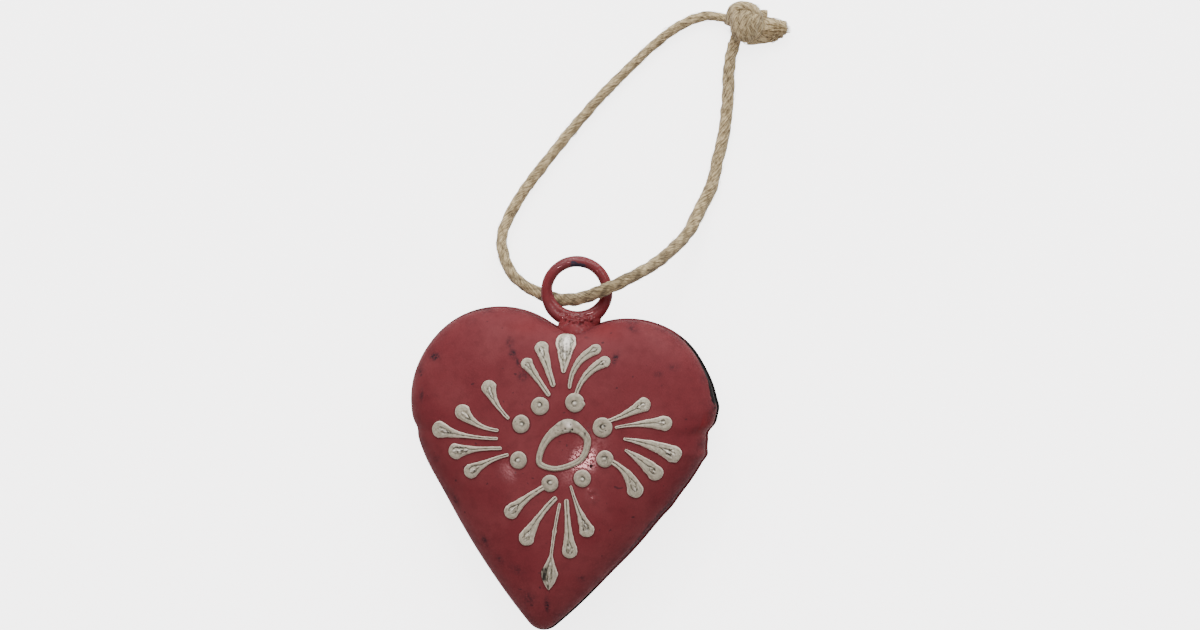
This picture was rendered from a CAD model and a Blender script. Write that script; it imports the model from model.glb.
"""The looks of a puffed red metal heart: worn enamel, dried paint, a welded ring and jute twine.

X runs to the heart's right, Y from its point to its ring and Z up through its painted front. All
lengths are in metres.
"""

import cmath
import logging
import math
from collections.abc import Callable
from dataclasses import dataclass, field, fields
from enum import Enum

import bpy
import numpy as np
from mathutils import Matrix, Vector


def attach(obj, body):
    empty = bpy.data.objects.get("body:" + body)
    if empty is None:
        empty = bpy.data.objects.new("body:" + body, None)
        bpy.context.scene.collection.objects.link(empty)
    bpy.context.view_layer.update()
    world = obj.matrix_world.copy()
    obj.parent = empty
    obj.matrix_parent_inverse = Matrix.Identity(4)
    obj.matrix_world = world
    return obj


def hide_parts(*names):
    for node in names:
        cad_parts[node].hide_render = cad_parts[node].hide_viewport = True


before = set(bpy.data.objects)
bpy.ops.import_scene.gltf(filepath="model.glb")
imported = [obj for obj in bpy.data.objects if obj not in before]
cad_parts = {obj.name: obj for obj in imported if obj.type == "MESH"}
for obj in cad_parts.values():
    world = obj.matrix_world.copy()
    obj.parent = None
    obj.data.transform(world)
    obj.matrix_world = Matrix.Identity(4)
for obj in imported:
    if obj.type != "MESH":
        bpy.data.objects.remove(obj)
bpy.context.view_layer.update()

LOG = logging.getLogger("heart_ornament")

Points = np.ndarray
Colour = tuple[float, float, float]
Item = bpy.types.Object
Material = bpy.types.Material
Node = bpy.types.Node
Socket = bpy.types.NodeSocket
Tree = bpy.types.NodeTree


# ---- Tools for meshes


def deselect() -> None:
    """Leave nothing selected and nothing active."""
    if bpy.context.object and bpy.context.object.mode != "OBJECT":
        bpy.ops.object.mode_set(mode="OBJECT")
    bpy.ops.object.select_all(action="DESELECT")
    bpy.context.view_layer.objects.active = None


def take_up(item: Item) -> None:
    """Select one object alone and make it active.

    Args:
        item: The object.
    """
    deselect()
    item.select_set(True)
    bpy.context.view_layer.objects.active = item


def coordinates(item: Item) -> Points:
    """Read the vertices of a mesh.

    Args:
        item: The mesh object.

    Returns:
        One row of three coordinates for each vertex.
    """
    found = np.empty(len(item.data.vertices) * 3, np.float32)
    item.data.vertices.foreach_get("co", found)
    return found.reshape(-1, 3).astype(float)


def put_coordinates(item: Item, places: Points) -> None:
    """Move every vertex of a mesh to its row of an array."""
    item.data.vertices.foreach_set("co", np.asarray(places, np.float32).ravel())
    item.data.update()


def mark(item: Item, name: str, *channels: Points) -> None:
    """Store up to three masks on a mesh as one colour attribute.

    Args:
        item: The mesh object.
        name: Name that the materials read.
        channels: One value from 0 to 1 for each vertex, for red, green and blue.
    """
    values = np.zeros((len(item.data.vertices), 4), np.float32)
    values[:, 3] = 1.0
    for index, channel in enumerate(channels):
        values[:, index] = clamp(channel)
    layer = item.data.attributes.new(name, "FLOAT_COLOR", "POINT")
    layer.data.foreach_set("color", values.ravel())


def rolled_grid(name: str, around: int, along: int) -> tuple[Item, Points, Points]:
    """Add a flat grid that will be rolled up into a piece.

    Args:
        name: Name of the new object.
        around: Faces across the grid, which go round the piece.
        along: Faces up the grid, which go along the piece.

    Returns:
        The object, and for each vertex its turn and its run, both from 0 to 1.
    """
    deselect()
    bpy.ops.mesh.primitive_grid_add(
        x_subdivisions=around, y_subdivisions=along, size=1.0, calc_uvs=True
    )
    item = bpy.context.object
    item.name = item.data.name = name
    flat = coordinates(item)
    return item, clamp(flat[:, 0] + 0.5), clamp(flat[:, 1] + 0.5)


def close_up(item: Item, places: Points, weld: float = 1e-6) -> Item:
    """Roll a grid up: move it into place, weld its seams and poles and shade it smooth.

    Args:
        item: The grid.
        places: Where each of its vertices goes.
        weld: Distance under which vertices become one.

    Returns:
        The same object.
    """
    put_coordinates(item, places)
    take_up(item)
    bpy.ops.object.mode_set(mode="EDIT")
    bpy.ops.mesh.select_all(action="SELECT")
    bpy.ops.mesh.remove_doubles(threshold=weld)
    bpy.ops.mesh.normals_make_consistent(inside=False)
    bpy.ops.object.mode_set(mode="OBJECT")
    bpy.ops.object.shade_smooth()
    return item


def scale_uv(item: Item, across: float, along: float) -> None:
    """Stretch a mesh's UV map to real lengths, in metres.

    Args:
        item: The mesh object.
        across: Real length of the map's full width.
        along: Real length of its full height.
    """
    layer = item.data.uv_layers.active
    values = np.empty(len(layer.data) * 2, np.float32)
    layer.data.foreach_get("uv", values)
    values = values.reshape(-1, 2) * (across, along)
    layer.data.foreach_set("uv", values.astype(np.float32).ravel())


def join(name: str, items: list[Item]) -> Item:
    """Join meshes into the first one and rename it.

    Args:
        name: Name of the joined object.
        items: The meshes.

    Returns:
        The joined object.
    """
    deselect()
    for item in items:
        item.select_set(True)
    bpy.context.view_layer.objects.active = items[0]
    if len(items) > 1:
        bpy.ops.object.join()
    items[0].name = items[0].data.name = name
    return items[0]


def apply_modifiers(item: Item) -> None:
    """Apply every modifier of an object in its order.

    Args:
        item: The object.
    """
    take_up(item)
    for modifier in list(item.modifiers):
        bpy.ops.object.modifier_apply(modifier=modifier.name)


def clamp(values: Points) -> Points:
    """Cut values off below 0 and above 1."""
    return np.clip(values, 0.0, 1.0)


def bell(away: Points, width: Points, power: int = 2) -> Points:
    """A bump of height 1 that fades with the distance from its middle: flatter with more power."""
    return np.exp(-((away / width) ** power))


def blot(across: Points, along: Points, wide: float, tall: float, power: int = 2) -> Points:
    """A bump of height 1 on the plan that fades with the distances from its middle."""
    return np.exp(-((across / wide) ** power + (along / tall) ** power))


def wrapped(angle: Points) -> Points:
    """Bring angles in radians between minus pi and pi."""
    return (angle + math.pi) % math.tau - math.pi


def on_floor(x: Points, y: Points) -> Points:
    """Points on the plan as rows of three coordinates."""
    return np.column_stack([x, y, np.zeros_like(x)])


def unit_rows(rows: Points) -> Points:
    """Scale each row of an array to a length of 1."""
    return rows / np.linalg.norm(rows, axis=1)[:, None]


def bent_line(share: Points, start: Points, control: Points, end: Points) -> tuple[Points, Points]:
    """A line with one bend, drawn from its start to its end.

    Args:
        share: Shares of the way, from 0 to 1.
        start: First point.
        control: Point that the line is drawn towards.
        end: Last point.

    Returns:
        The point at each share, and the line's direction there.
    """
    line = np.outer((1 - share) ** 2, start) + np.outer(2 * share * (1 - share), control)
    ahead = np.outer(1 - share, control - start) + np.outer(share, end - control)
    return line + np.outer(share**2, end), unit_rows(ahead)


def grain(places: Points, size: float, seed: int = 0) -> Points:
    """Smooth noise over space.

    Args:
        places: Points, one row each.
        size: Width of its features in metres.
        seed: Picks one pattern.

    Returns:
        A value from -1 to 1 for each point.
    """
    scaled = np.asarray(places, float) / size + 17.31 * seed
    cell = np.floor(scaled).astype(np.int64)
    part = scaled - cell
    part = part * part * (3 - 2 * part)
    total = np.zeros(len(scaled))
    for corner in np.ndindex(2, 2, 2):
        spot = cell + corner
        mixed = spot[:, 0] * 374761393 + spot[:, 1] * 668265263 + spot[:, 2] * 1440662683
        mixed = (mixed ^ (mixed >> 13)) * 1274126177
        value = ((mixed ^ (mixed >> 16)) & 0xFFFF) / 32767.5 - 1
        total += value * np.prod(np.where(np.array(corner) == 1, part, 1 - part), axis=1)
    return total


def smooth_curve(points: Points, count: int, closed: bool = False) -> Points:
    """Points of a smooth curve through a route, at even steps of the route.

    Args:
        points: Rows that the curve passes through, with any number of columns.
        count: How many rows to return.
        closed: True if the curve comes back to its start.

    Returns:
        The rows of the curve.
    """
    rows = np.asarray(points, float)
    pieces = len(rows) if closed else len(rows) - 1
    at = np.arange(count) / count * pieces if closed else np.linspace(0, pieces - 1e-9, count)
    first = at.astype(int)
    t = (at - first)[:, None]
    picks = [first + k for k in (-1, 0, 1, 2)]
    if closed:
        a, b, c, d = (rows[pick % len(rows)] for pick in picks)
    else:
        a, b, c, d = (rows[np.clip(pick, 0, len(rows) - 1)] for pick in picks)
    bend = (2 * a - 5 * b + 4 * c - d) * t**2 + (3 * b - a - 3 * c + d) * t**3
    return 0.5 * (2 * b + (c - a) * t + bend)


def even_curve(points: Points, count: int) -> Points:
    """The same open curve with its points at even distances.

    Args:
        points: Rows that the curve passes through, the first three columns being its place.
        count: How many rows to return.

    Returns:
        The rows of the curve.
    """
    fine = smooth_curve(points, 60 * len(points))
    steps = np.linalg.norm(np.diff(fine[:, :3], axis=0), axis=1)
    travelled = np.concatenate([[0], np.cumsum(steps)])
    wanted = np.linspace(0, travelled[-1], count)
    return np.column_stack([np.interp(wanted, travelled, column) for column in fine.T])


# ---- Tools for materials


class Layout:
    """A node tree being filled, with short calls to add nodes and to link them."""

    def __init__(self, tree: Tree) -> None:
        """Keep the tree and empty it."""
        self.tree = tree
        self.tree.nodes.clear()

    def put(self, kind: str, inputs: dict | None = None, **settings: object) -> Node:
        """Add a node.

        Args:
            kind: The node's type, without ShaderNode in front.
            inputs: Values or output sockets for its inputs, by name or number.
            settings: Values for its properties.

        Returns:
            The node.
        """
        node = self.tree.nodes.new(kind if kind.startswith("Node") else "ShaderNode" + kind)
        for name, value in settings.items():
            setattr(node, name, value)
        for name, value in (inputs or {}).items():
            socket = node.inputs[name]
            if isinstance(value, Socket):
                self.tree.links.new(value, socket)
            elif isinstance(value, tuple) and len(value) == 3 and socket.type == "RGBA":
                socket.default_value = (*value, 1.0)
            else:
                socket.default_value = value
        return node

    def maths(self, operation: str, first: object, second: object = 0.0) -> Socket:
        """Add a Math node that clamps its result, and return its output."""
        node = self.put("Math", {0: first, 1: second}, operation=operation, use_clamp=True)
        return node.outputs[0]

    def ramp(self, value: object, low: float, high: float) -> Socket:
        """Turn values from low to high smoothly into 0 to 1.

        Args:
            value: The value.
            low: Value that becomes 0.
            high: Value that becomes 1.

        Returns:
            The output.
        """
        inputs = {"Value": value, "From Min": low, "From Max": high}
        node = self.put("MapRange", inputs, interpolation_type="SMOOTHSTEP")
        return node.outputs["Result"]

    def near(self, place: object, spot: tuple, far: float, close: float) -> Socket:
        """Rise smoothly from 0 to 1 towards a point.

        Args:
            place: Socket of the coordinates.
            spot: The point.
            far: Distance at which the value is 0.
            close: Distance at which it is 1.

        Returns:
            The output.
        """
        away = self.put("VectorMath", {0: place, 1: spot}, operation="DISTANCE")
        return self.ramp(away.outputs["Value"], far, close)

    def times(self, first: object, second: object) -> Socket:
        """Multiply two values, and return the output."""
        return self.maths("MULTIPLY", first, second)

    def plus(self, first: object, second: object) -> Socket:
        """Add two values, and return the output."""
        return self.maths("ADD", first, second)

    def minus(self, first: object, second: object) -> Socket:
        """Take the second value from the first, and return the output."""
        return self.maths("SUBTRACT", first, second)

    def give(self, end: Node, values: dict[str, Socket]) -> None:
        """Link values to the named outputs of a group."""
        for name, value in values.items():
            self.tree.links.new(value, end.inputs[name])

    def mix(self, share: object, first: object, second: object) -> Socket:
        """Mix two colours by a share.

        Args:
            share: Share of the second colour.
            first: Colour or socket.
            second: Colour or socket.

        Returns:
            The mixed colour.
        """
        node = self.put("Mix", {"Factor": share}, data_type="RGBA")
        for socket, value in ((node.inputs[6], first), (node.inputs[7], second)):
            if isinstance(value, Socket):
                self.tree.links.new(value, socket)
            else:
                socket.default_value = (*value, 1.0)
        return node.outputs[2]

    def noise(self, place: object, scale: float, detail: float = 2.0) -> Socket:
        """Add a noise texture with features of about 1/scale metres, and return its value."""
        inputs = {"Vector": place, "Scale": scale, "Detail": detail, "Roughness": 0.55}
        return self.put("TexNoise", inputs).outputs[0]


def shader_group(name: str, inputs: dict[str, object], outputs: dict[str, str]) -> tuple:
    """Start a group of shader nodes with named inputs and outputs.

    Args:
        name: Name of the group.
        inputs: Default value of each input, a number or a colour.
        outputs: Kind of each output, Float or Color.

    Returns:
        The group, its layout, the sockets of its inputs and its output node.
    """
    group = bpy.data.node_groups.new(name, "ShaderNodeTree")
    layout = Layout(group)
    for label, value in inputs.items():
        kind = "NodeSocketColor" if isinstance(value, tuple) else "NodeSocketFloat"
        socket = group.interface.new_socket(label, in_out="INPUT", socket_type=kind)
        socket.default_value = (*value, 1.0) if isinstance(value, tuple) else value
    for label, kind in outputs.items():
        group.interface.new_socket(label, in_out="OUTPUT", socket_type="NodeSocket" + kind)
    start, end = layout.put("NodeGroupInput"), layout.put("NodeGroupOutput")
    return group, layout, start.outputs, end


def use_group(layout: Layout, group: Tree, inputs: dict) -> Node:
    """Place a group in a material with its own values.

    Args:
        layout: Layout of the material.
        group: The group.
        inputs: Value or socket of each of its inputs, by name.

    Returns:
        The group's node.
    """
    node = layout.put("Group", {}, node_tree=group)
    for name, value in inputs.items():
        if isinstance(value, Socket):
            layout.tree.links.new(value, node.inputs[name])
        else:
            node.inputs[name].default_value = (*value, 1.0) if isinstance(value, tuple) else value
    return node


@dataclass(frozen=True)
class Surface:
    """Values that are the same all over a finish, set on the shader's own sockets."""

    coat: float = 0.0
    coat_roughness: float = 0.2
    sheen: float = 0.0
    specular: float = 0.5
    bump: float = 0.3
    bump_distance: float = 0.0001


def shaded(name: str, surface: Surface, paint: Callable[[Layout], tuple]) -> Material:
    """Make a material from a finish.

    Args:
        name: Name of the material.
        surface: Its constant values.
        paint: Called with the layout, and returns the colour, roughness and height sockets,
            and that of the coat where it varies.

    Returns:
        The material.
    """
    material = bpy.data.materials.new(name)
    material.use_nodes = True
    layout = Layout(material.node_tree)
    colour, roughness, height, *gloss = paint(layout)
    bump = layout.put(
        "Bump", {"Strength": surface.bump, "Distance": surface.bump_distance, "Height": height}
    )
    shader = layout.put(
        "BsdfPrincipled",
        {
            "Base Color": colour,
            "Roughness": roughness,
            "Normal": bump.outputs[0],
            "Coat Weight": gloss[0] if gloss else surface.coat,
            "Coat Roughness": surface.coat_roughness,
            "Sheen Weight": surface.sheen,
            "Specular IOR Level": surface.specular,
        },
    )
    output = layout.put("OutputMaterial")
    layout.tree.links.new(shader.outputs[0], output.inputs[0])
    return material


def colours(finish: object) -> dict[str, Colour]:
    """The colours of a finish, under the names of its group's inputs."""
    values = {entry.name.capitalize(): getattr(finish, entry.name) for entry in fields(finish)}
    return {name: value for name, value in values.items() if isinstance(value, tuple)}


def masks(layout: Layout, name: str) -> tuple:
    """Read the three masks of a colour attribute.

    Args:
        layout: Layout of the material.
        name: Name of the attribute.

    Returns:
        The sockets of its red, green and blue.
    """
    attribute = layout.put("Attribute", attribute_name=name, attribute_type="GEOMETRY")
    parts = layout.put("SeparateColor", {0: attribute.outputs["Color"]})
    return tuple(parts.outputs[:3])


def object_place(layout: Layout) -> Socket:
    """The object coordinates, which are the part's own metres."""
    return layout.put("TexCoord").outputs["Object"]


# ---- Finishes


# Spots of the front that were rubbed glossy: place, outer and inner radius, strength
GLOSS_SPOTS = (
    ((0.0070, -0.0031, 0.0236), 0.0042, 0.0020, 1.0),
    ((0.0090, -0.0055, 0.0236), 0.0130, 0.0030, 0.12),
    ((0.0095, -0.0108, 0.0234), 0.0024, 0.0012, 0.8),
    ((-0.0104, -0.0076, 0.0232), 0.0036, 0.0006, 0.75),
)
# The pinhole in the front: place, outer and inner radius
PINHOLE = ((0.00857, -0.00412, 0.02362), 0.00050, 0.00036)


def worn_enamel_group() -> Tree:
    """Red enamel with faded patches, mottling, dark scuffs, iron where it is worn off, and pits.

    Returns:
        The group.
    """
    group, layout, start, end = shader_group(
        "Worn enamel",
        colours(Enamel())
        | {"Scuff mask": 0.0, "Iron mask": 0.0, "Bright mask": 0.0, "Gloss": 0.0, "Rubbed gloss": 0.0},
        {"Color": "Color", "Roughness": "Float", "Height": "Float", "Gloss": "Float"},
    )
    place = object_place(layout)
    patches = layout.ramp(layout.noise(place, 90.0, 4.0), 0.36, 0.66)
    mottle = layout.ramp(layout.noise(place, 420.0, 3.0), 0.42, 0.72)
    fine = layout.noise(place, 1500.0, 2.0)
    peel = layout.noise(place, 1700.0, 1.0)
    rubbed = 0.0
    for spot, far, close, strength in GLOSS_SPOTS:
        lit = layout.times(layout.near(place, spot, far, close), strength)
        rubbed = layout.maths("MAXIMUM", lit, rubbed)
    pinhole = layout.near(place, *PINHOLE)
    colour = layout.mix(patches, start["Coat"], start["Faded"])
    colour = layout.mix(layout.times(mottle, 0.22), colour, start["Deep"])
    bright = layout.times(start["Bright mask"], 0.75)
    colour = layout.mix(bright, colour, start["Fresh"])
    ragged = layout.times(start["Scuff mask"], layout.ramp(fine, 0.25, 0.62))
    specks = layout.ramp(layout.noise(place, 900.0, 0.0), 0.80, 0.86)
    ragged = layout.maths("MAXIMUM", ragged, layout.times(specks, 0.6))
    colour = layout.mix(ragged, colour, start["Dirt"])
    colour = layout.mix(layout.times(pinhole, 0.85), colour, start["Iron"])
    torn = layout.plus(start["Iron mask"], layout.times(fine, 0.5))
    bare = layout.ramp(torn, 0.62, 0.80)
    colour = layout.mix(bare, colour, start["Iron"])
    rough = layout.minus(0.52, layout.times(rubbed, 0.12))
    rough = layout.plus(rough, layout.times(mottle, 0.08))
    rough = layout.plus(rough, layout.times(ragged, 0.20))
    rough = layout.plus(rough, layout.times(bare, 0.15))
    height = layout.times(peel, 0.6)
    height = layout.minus(height, layout.times(bare, 0.4))
    height = layout.minus(height, layout.times(pinhole, 1.2))
    cells = layout.ramp(layout.noise(place, 2900.0, 1.0), 0.44, 0.53)
    gloss = layout.plus(start["Gloss"], layout.times(rubbed, start["Rubbed gloss"]))
    gloss = layout.times(gloss, layout.plus(0.05, cells))
    gloss = layout.times(gloss, layout.minus(1.0, bare))
    gloss = layout.times(gloss, layout.minus(1.0, start["Bright mask"]))
    gloss = layout.times(gloss, layout.minus(1.0, pinhole))
    layout.give(end, {"Color": colour, "Roughness": rough, "Height": height, "Gloss": gloss})
    return group


def dried_paint_group() -> Tree:
    """Thick dried paint: a grey-olive body, a pale rim, dark broken creases and bright crests.

    Returns:
        The group.
    """
    group, layout, start, end = shader_group(
        "Dried paint",
        colours(DriedPaint()) | {"Rim mask": 0.0, "Crease mask": 0.0, "Crest mask": 0.0},
        {"Color": "Color", "Roughness": "Float", "Height": "Float"},
    )
    place = object_place(layout)
    tone = layout.noise(place, 1300.0, 3.0)
    fine = layout.noise(place, 4200.0, 2.0)
    shade = layout.times(layout.ramp(tone, 0.38, 0.66), 0.60)
    colour = layout.mix(shade, start["Body"], start["Shade"])
    colour = layout.mix(layout.times(start["Rim mask"], 0.9), colour, start["Rim"])
    colour = layout.mix(layout.times(start["Crest mask"], 0.95), colour, start["Crest"])
    broken = layout.times(start["Crease mask"], layout.ramp(fine, 0.15, 0.42))
    colour = layout.mix(broken, colour, start["Crease"])
    rough = layout.plus(0.42, layout.times(tone, 0.2))
    rough = layout.minus(rough, layout.times(start["Crest mask"], 0.15))
    height = layout.minus(fine, layout.times(start["Crease mask"], 0.5))
    layout.give(end, {"Color": colour, "Roughness": rough, "Height": height})
    return group


def jute_group() -> Tree:
    """Jute fibres that lie along a strand: pale, straw and brown streaks with fine ridges.

    Returns:
        The group.
    """
    group, layout, start, end = shader_group(
        "Jute fibres",
        colours(Jute()) | {"Hollow mask": 0.0, "Slant": 0.5},
        {"Color": "Color", "Height": "Float"},
    )
    spread = layout.put("SeparateXYZ", {0: layout.put("TexCoord").outputs["UV"]})
    turned = {0: spread.outputs[1], 1: start["Slant"], 2: spread.outputs[0]}
    slanted = layout.put("Math", turned, operation="MULTIPLY_ADD")
    along = layout.put("Math", {0: spread.outputs[1], 1: 0.16}, operation="MULTIPLY")
    streak = layout.put("CombineXYZ", {0: slanted.outputs[0], 1: along.outputs[0]}).outputs[0]
    coarse = layout.noise(streak, 2600.0, 3.0)
    fine = layout.noise(streak, 8500.0, 2.0)
    tone = layout.noise(object_place(layout), 330.0, 3.0)
    streaks = {0: coarse, 1: 0.6, 2: layout.times(fine, 0.4)}
    blend = layout.put("Math", streaks, operation="MULTIPLY_ADD").outputs[0]
    colour = layout.mix(layout.ramp(blend, 0.46, 0.57), start["Straw"], start["Pale"])
    colour = layout.mix(layout.ramp(blend, 0.46, 0.36), colour, start["Brown"])
    colour = layout.mix(layout.times(layout.ramp(tone, 0.5, 0.75), 0.35), colour, start["Straw"])
    colour = layout.mix(layout.times(start["Hollow mask"], 0.8), colour, start["Brown"])
    layout.give(end, {"Color": colour, "Height": blend})
    return group


@dataclass(frozen=True)
class Enamel:
    """Red enamel over thin sheet iron."""

    coat: Colour = (0.130, 0.0215, 0.0262)
    faded: Colour = (0.150, 0.0300, 0.0342)
    deep: Colour = (0.068, 0.0125, 0.0158)
    dirt: Colour = (0.024, 0.0120, 0.0170)
    iron: Colour = (0.006, 0.0045, 0.0045)
    fresh: Colour = (0.165, 0.0120, 0.0130)
    gloss: float = 0.0
    rubbed: float = 0.75
    surface: Surface = Surface(specular=0.10, coat_roughness=0.16, bump=0.34, bump_distance=0.00012)
    mask: str = "wear"

    def material(self, name: str, group: Tree) -> Material:
        """Make the enamel, which reads scuffs, bare iron and bright spots from the mesh.

        Args:
            name: Name of the material.
            group: The worn enamel group.

        Returns:
            The material.
        """

        def paint(layout: Layout) -> tuple:
            """Lay out the varying part of the finish.

            Args:
                layout: Layout of the material.

            Returns:
                Its sockets, in the order that shaded takes.
            """
            scuffs, iron, bright = masks(layout, self.mask)
            values = {"Scuff mask": scuffs, "Iron mask": iron, "Bright mask": bright}
            values |= {"Gloss": self.gloss, "Rubbed gloss": self.rubbed}
            node = use_group(layout, group, colours(self) | values)
            return tuple(node.outputs[:4])

        return shaded(name, self.surface, paint)

    def pooled(self, name: str, group: Tree) -> Material:
        """Make the darker varnish that has pooled round the paint, and fades into the enamel.

        Args:
            name: Name of the material.
            group: The worn enamel group.

        Returns:
            The material.
        """

        def paint(layout: Layout) -> tuple:
            """Lay out the varying part of the finish.

            Args:
                layout: Layout of the material.

            Returns:
                Its sockets, in the order that shaded takes.
            """
            pool = masks(layout, "pool")[0]
            node = use_group(layout, group, colours(self) | {"Rubbed gloss": self.rubbed})
            colour = layout.mix(pool, node.outputs[0], self.deep)
            return colour, node.outputs[1], node.outputs[2], node.outputs[3]

        return shaded(name, self.surface, paint)


@dataclass(frozen=True)
class DriedPaint:
    """Thick silver-white paint that has dried and wrinkled."""

    body: Colour = (0.376, 0.360, 0.270)
    shade: Colour = (0.205, 0.189, 0.137)
    rim: Colour = (0.710, 0.610, 0.515)
    crease: Colour = (0.012, 0.011, 0.006)
    crest: Colour = (0.900, 0.890, 0.800)
    surface: Surface = Surface(
        coat=0.12, coat_roughness=0.2, specular=0.3, bump=0.65, bump_distance=0.0001
    )

    def material(self, name: str, group: Tree) -> Material:
        """Make the paint, which reads its rim, creases and crests from the mesh.

        Args:
            name: Name of the material.
            group: The dried paint group.

        Returns:
            The material.
        """

        def paint(layout: Layout) -> tuple:
            """Lay out the varying part of the finish.

            Args:
                layout: Layout of the material.

            Returns:
                Its sockets, in the order that shaded takes.
            """
            rim, crease, crest = masks(layout, "paint")
            values = {"Rim mask": rim, "Crease mask": crease, "Crest mask": crest}
            node = use_group(layout, group, colours(self) | values)
            return tuple(node.outputs[:3])

        return shaded(name, self.surface, paint)


@dataclass(frozen=True)
class Jute:
    """Natural jute, twisted."""

    pale: Colour = (0.600, 0.505, 0.290)
    straw: Colour = (0.262, 0.206, 0.108)
    brown: Colour = (0.062, 0.046, 0.024)
    slant: float = 0.55
    roughness: float = 0.9
    surface: Surface = Surface(sheen=0.25, specular=0.2, bump=0.9, bump_distance=0.00012)

    def material(self, name: str, group: Tree) -> Material:
        """Make the jute, whose fibres follow the UV map of each strand.

        Args:
            name: Name of the material.
            group: The jute group.

        Returns:
            The material.
        """

        def paint(layout: Layout) -> tuple:
            """Lay out the varying part of the finish.

            Args:
                layout: Layout of the material.

            Returns:
                Its sockets, in the order that shaded takes.
            """
            hollow = masks(layout, "hollow")[0]
            values = {"Slant": self.slant, "Hollow mask": hollow}
            node = use_group(layout, group, colours(self) | values)
            return node.outputs[0], self.roughness, node.outputs[1]

        return shaded(name, self.surface, paint)


@dataclass
class Finishes:
    """Every material of the ornament."""

    front: Material = field(init=False)
    back: Material = field(init=False)
    ring: Material = field(init=False)
    pooled: Material = field(init=False)
    paint: Material = field(init=False)
    jute: Material = field(init=False)

    def __post_init__(self) -> None:
        """Make the groups once and place them in the materials."""
        enamel, dried, fibres = worn_enamel_group(), dried_paint_group(), jute_group()
        self.front = Enamel().material("front_enamel", enamel)
        self.back = Enamel(coat=(0.110, 0.0175, 0.0215), rubbed=0.0).material("back_enamel", enamel)
        ring = Enamel(
            coat=(0.150, 0.0165, 0.0200), fresh=(0.142, 0.0180, 0.0215), dirt=(0.034, 0.0060, 0.0080),
            iron=(0.036, 0.031, 0.050), gloss=0.55, rubbed=0.0,
            surface=Surface(coat_roughness=0.07, specular=0.12, bump=0.30),
        )
        self.ring = ring.material("ring_enamel", enamel)
        self.pooled = Enamel().pooled("pooled_varnish", enamel)
        self.paint = DriedPaint().material("silver_white_paint", dried)
        self.jute = Jute().material("jute", fibres)


# ---- The form of the heart


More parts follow.
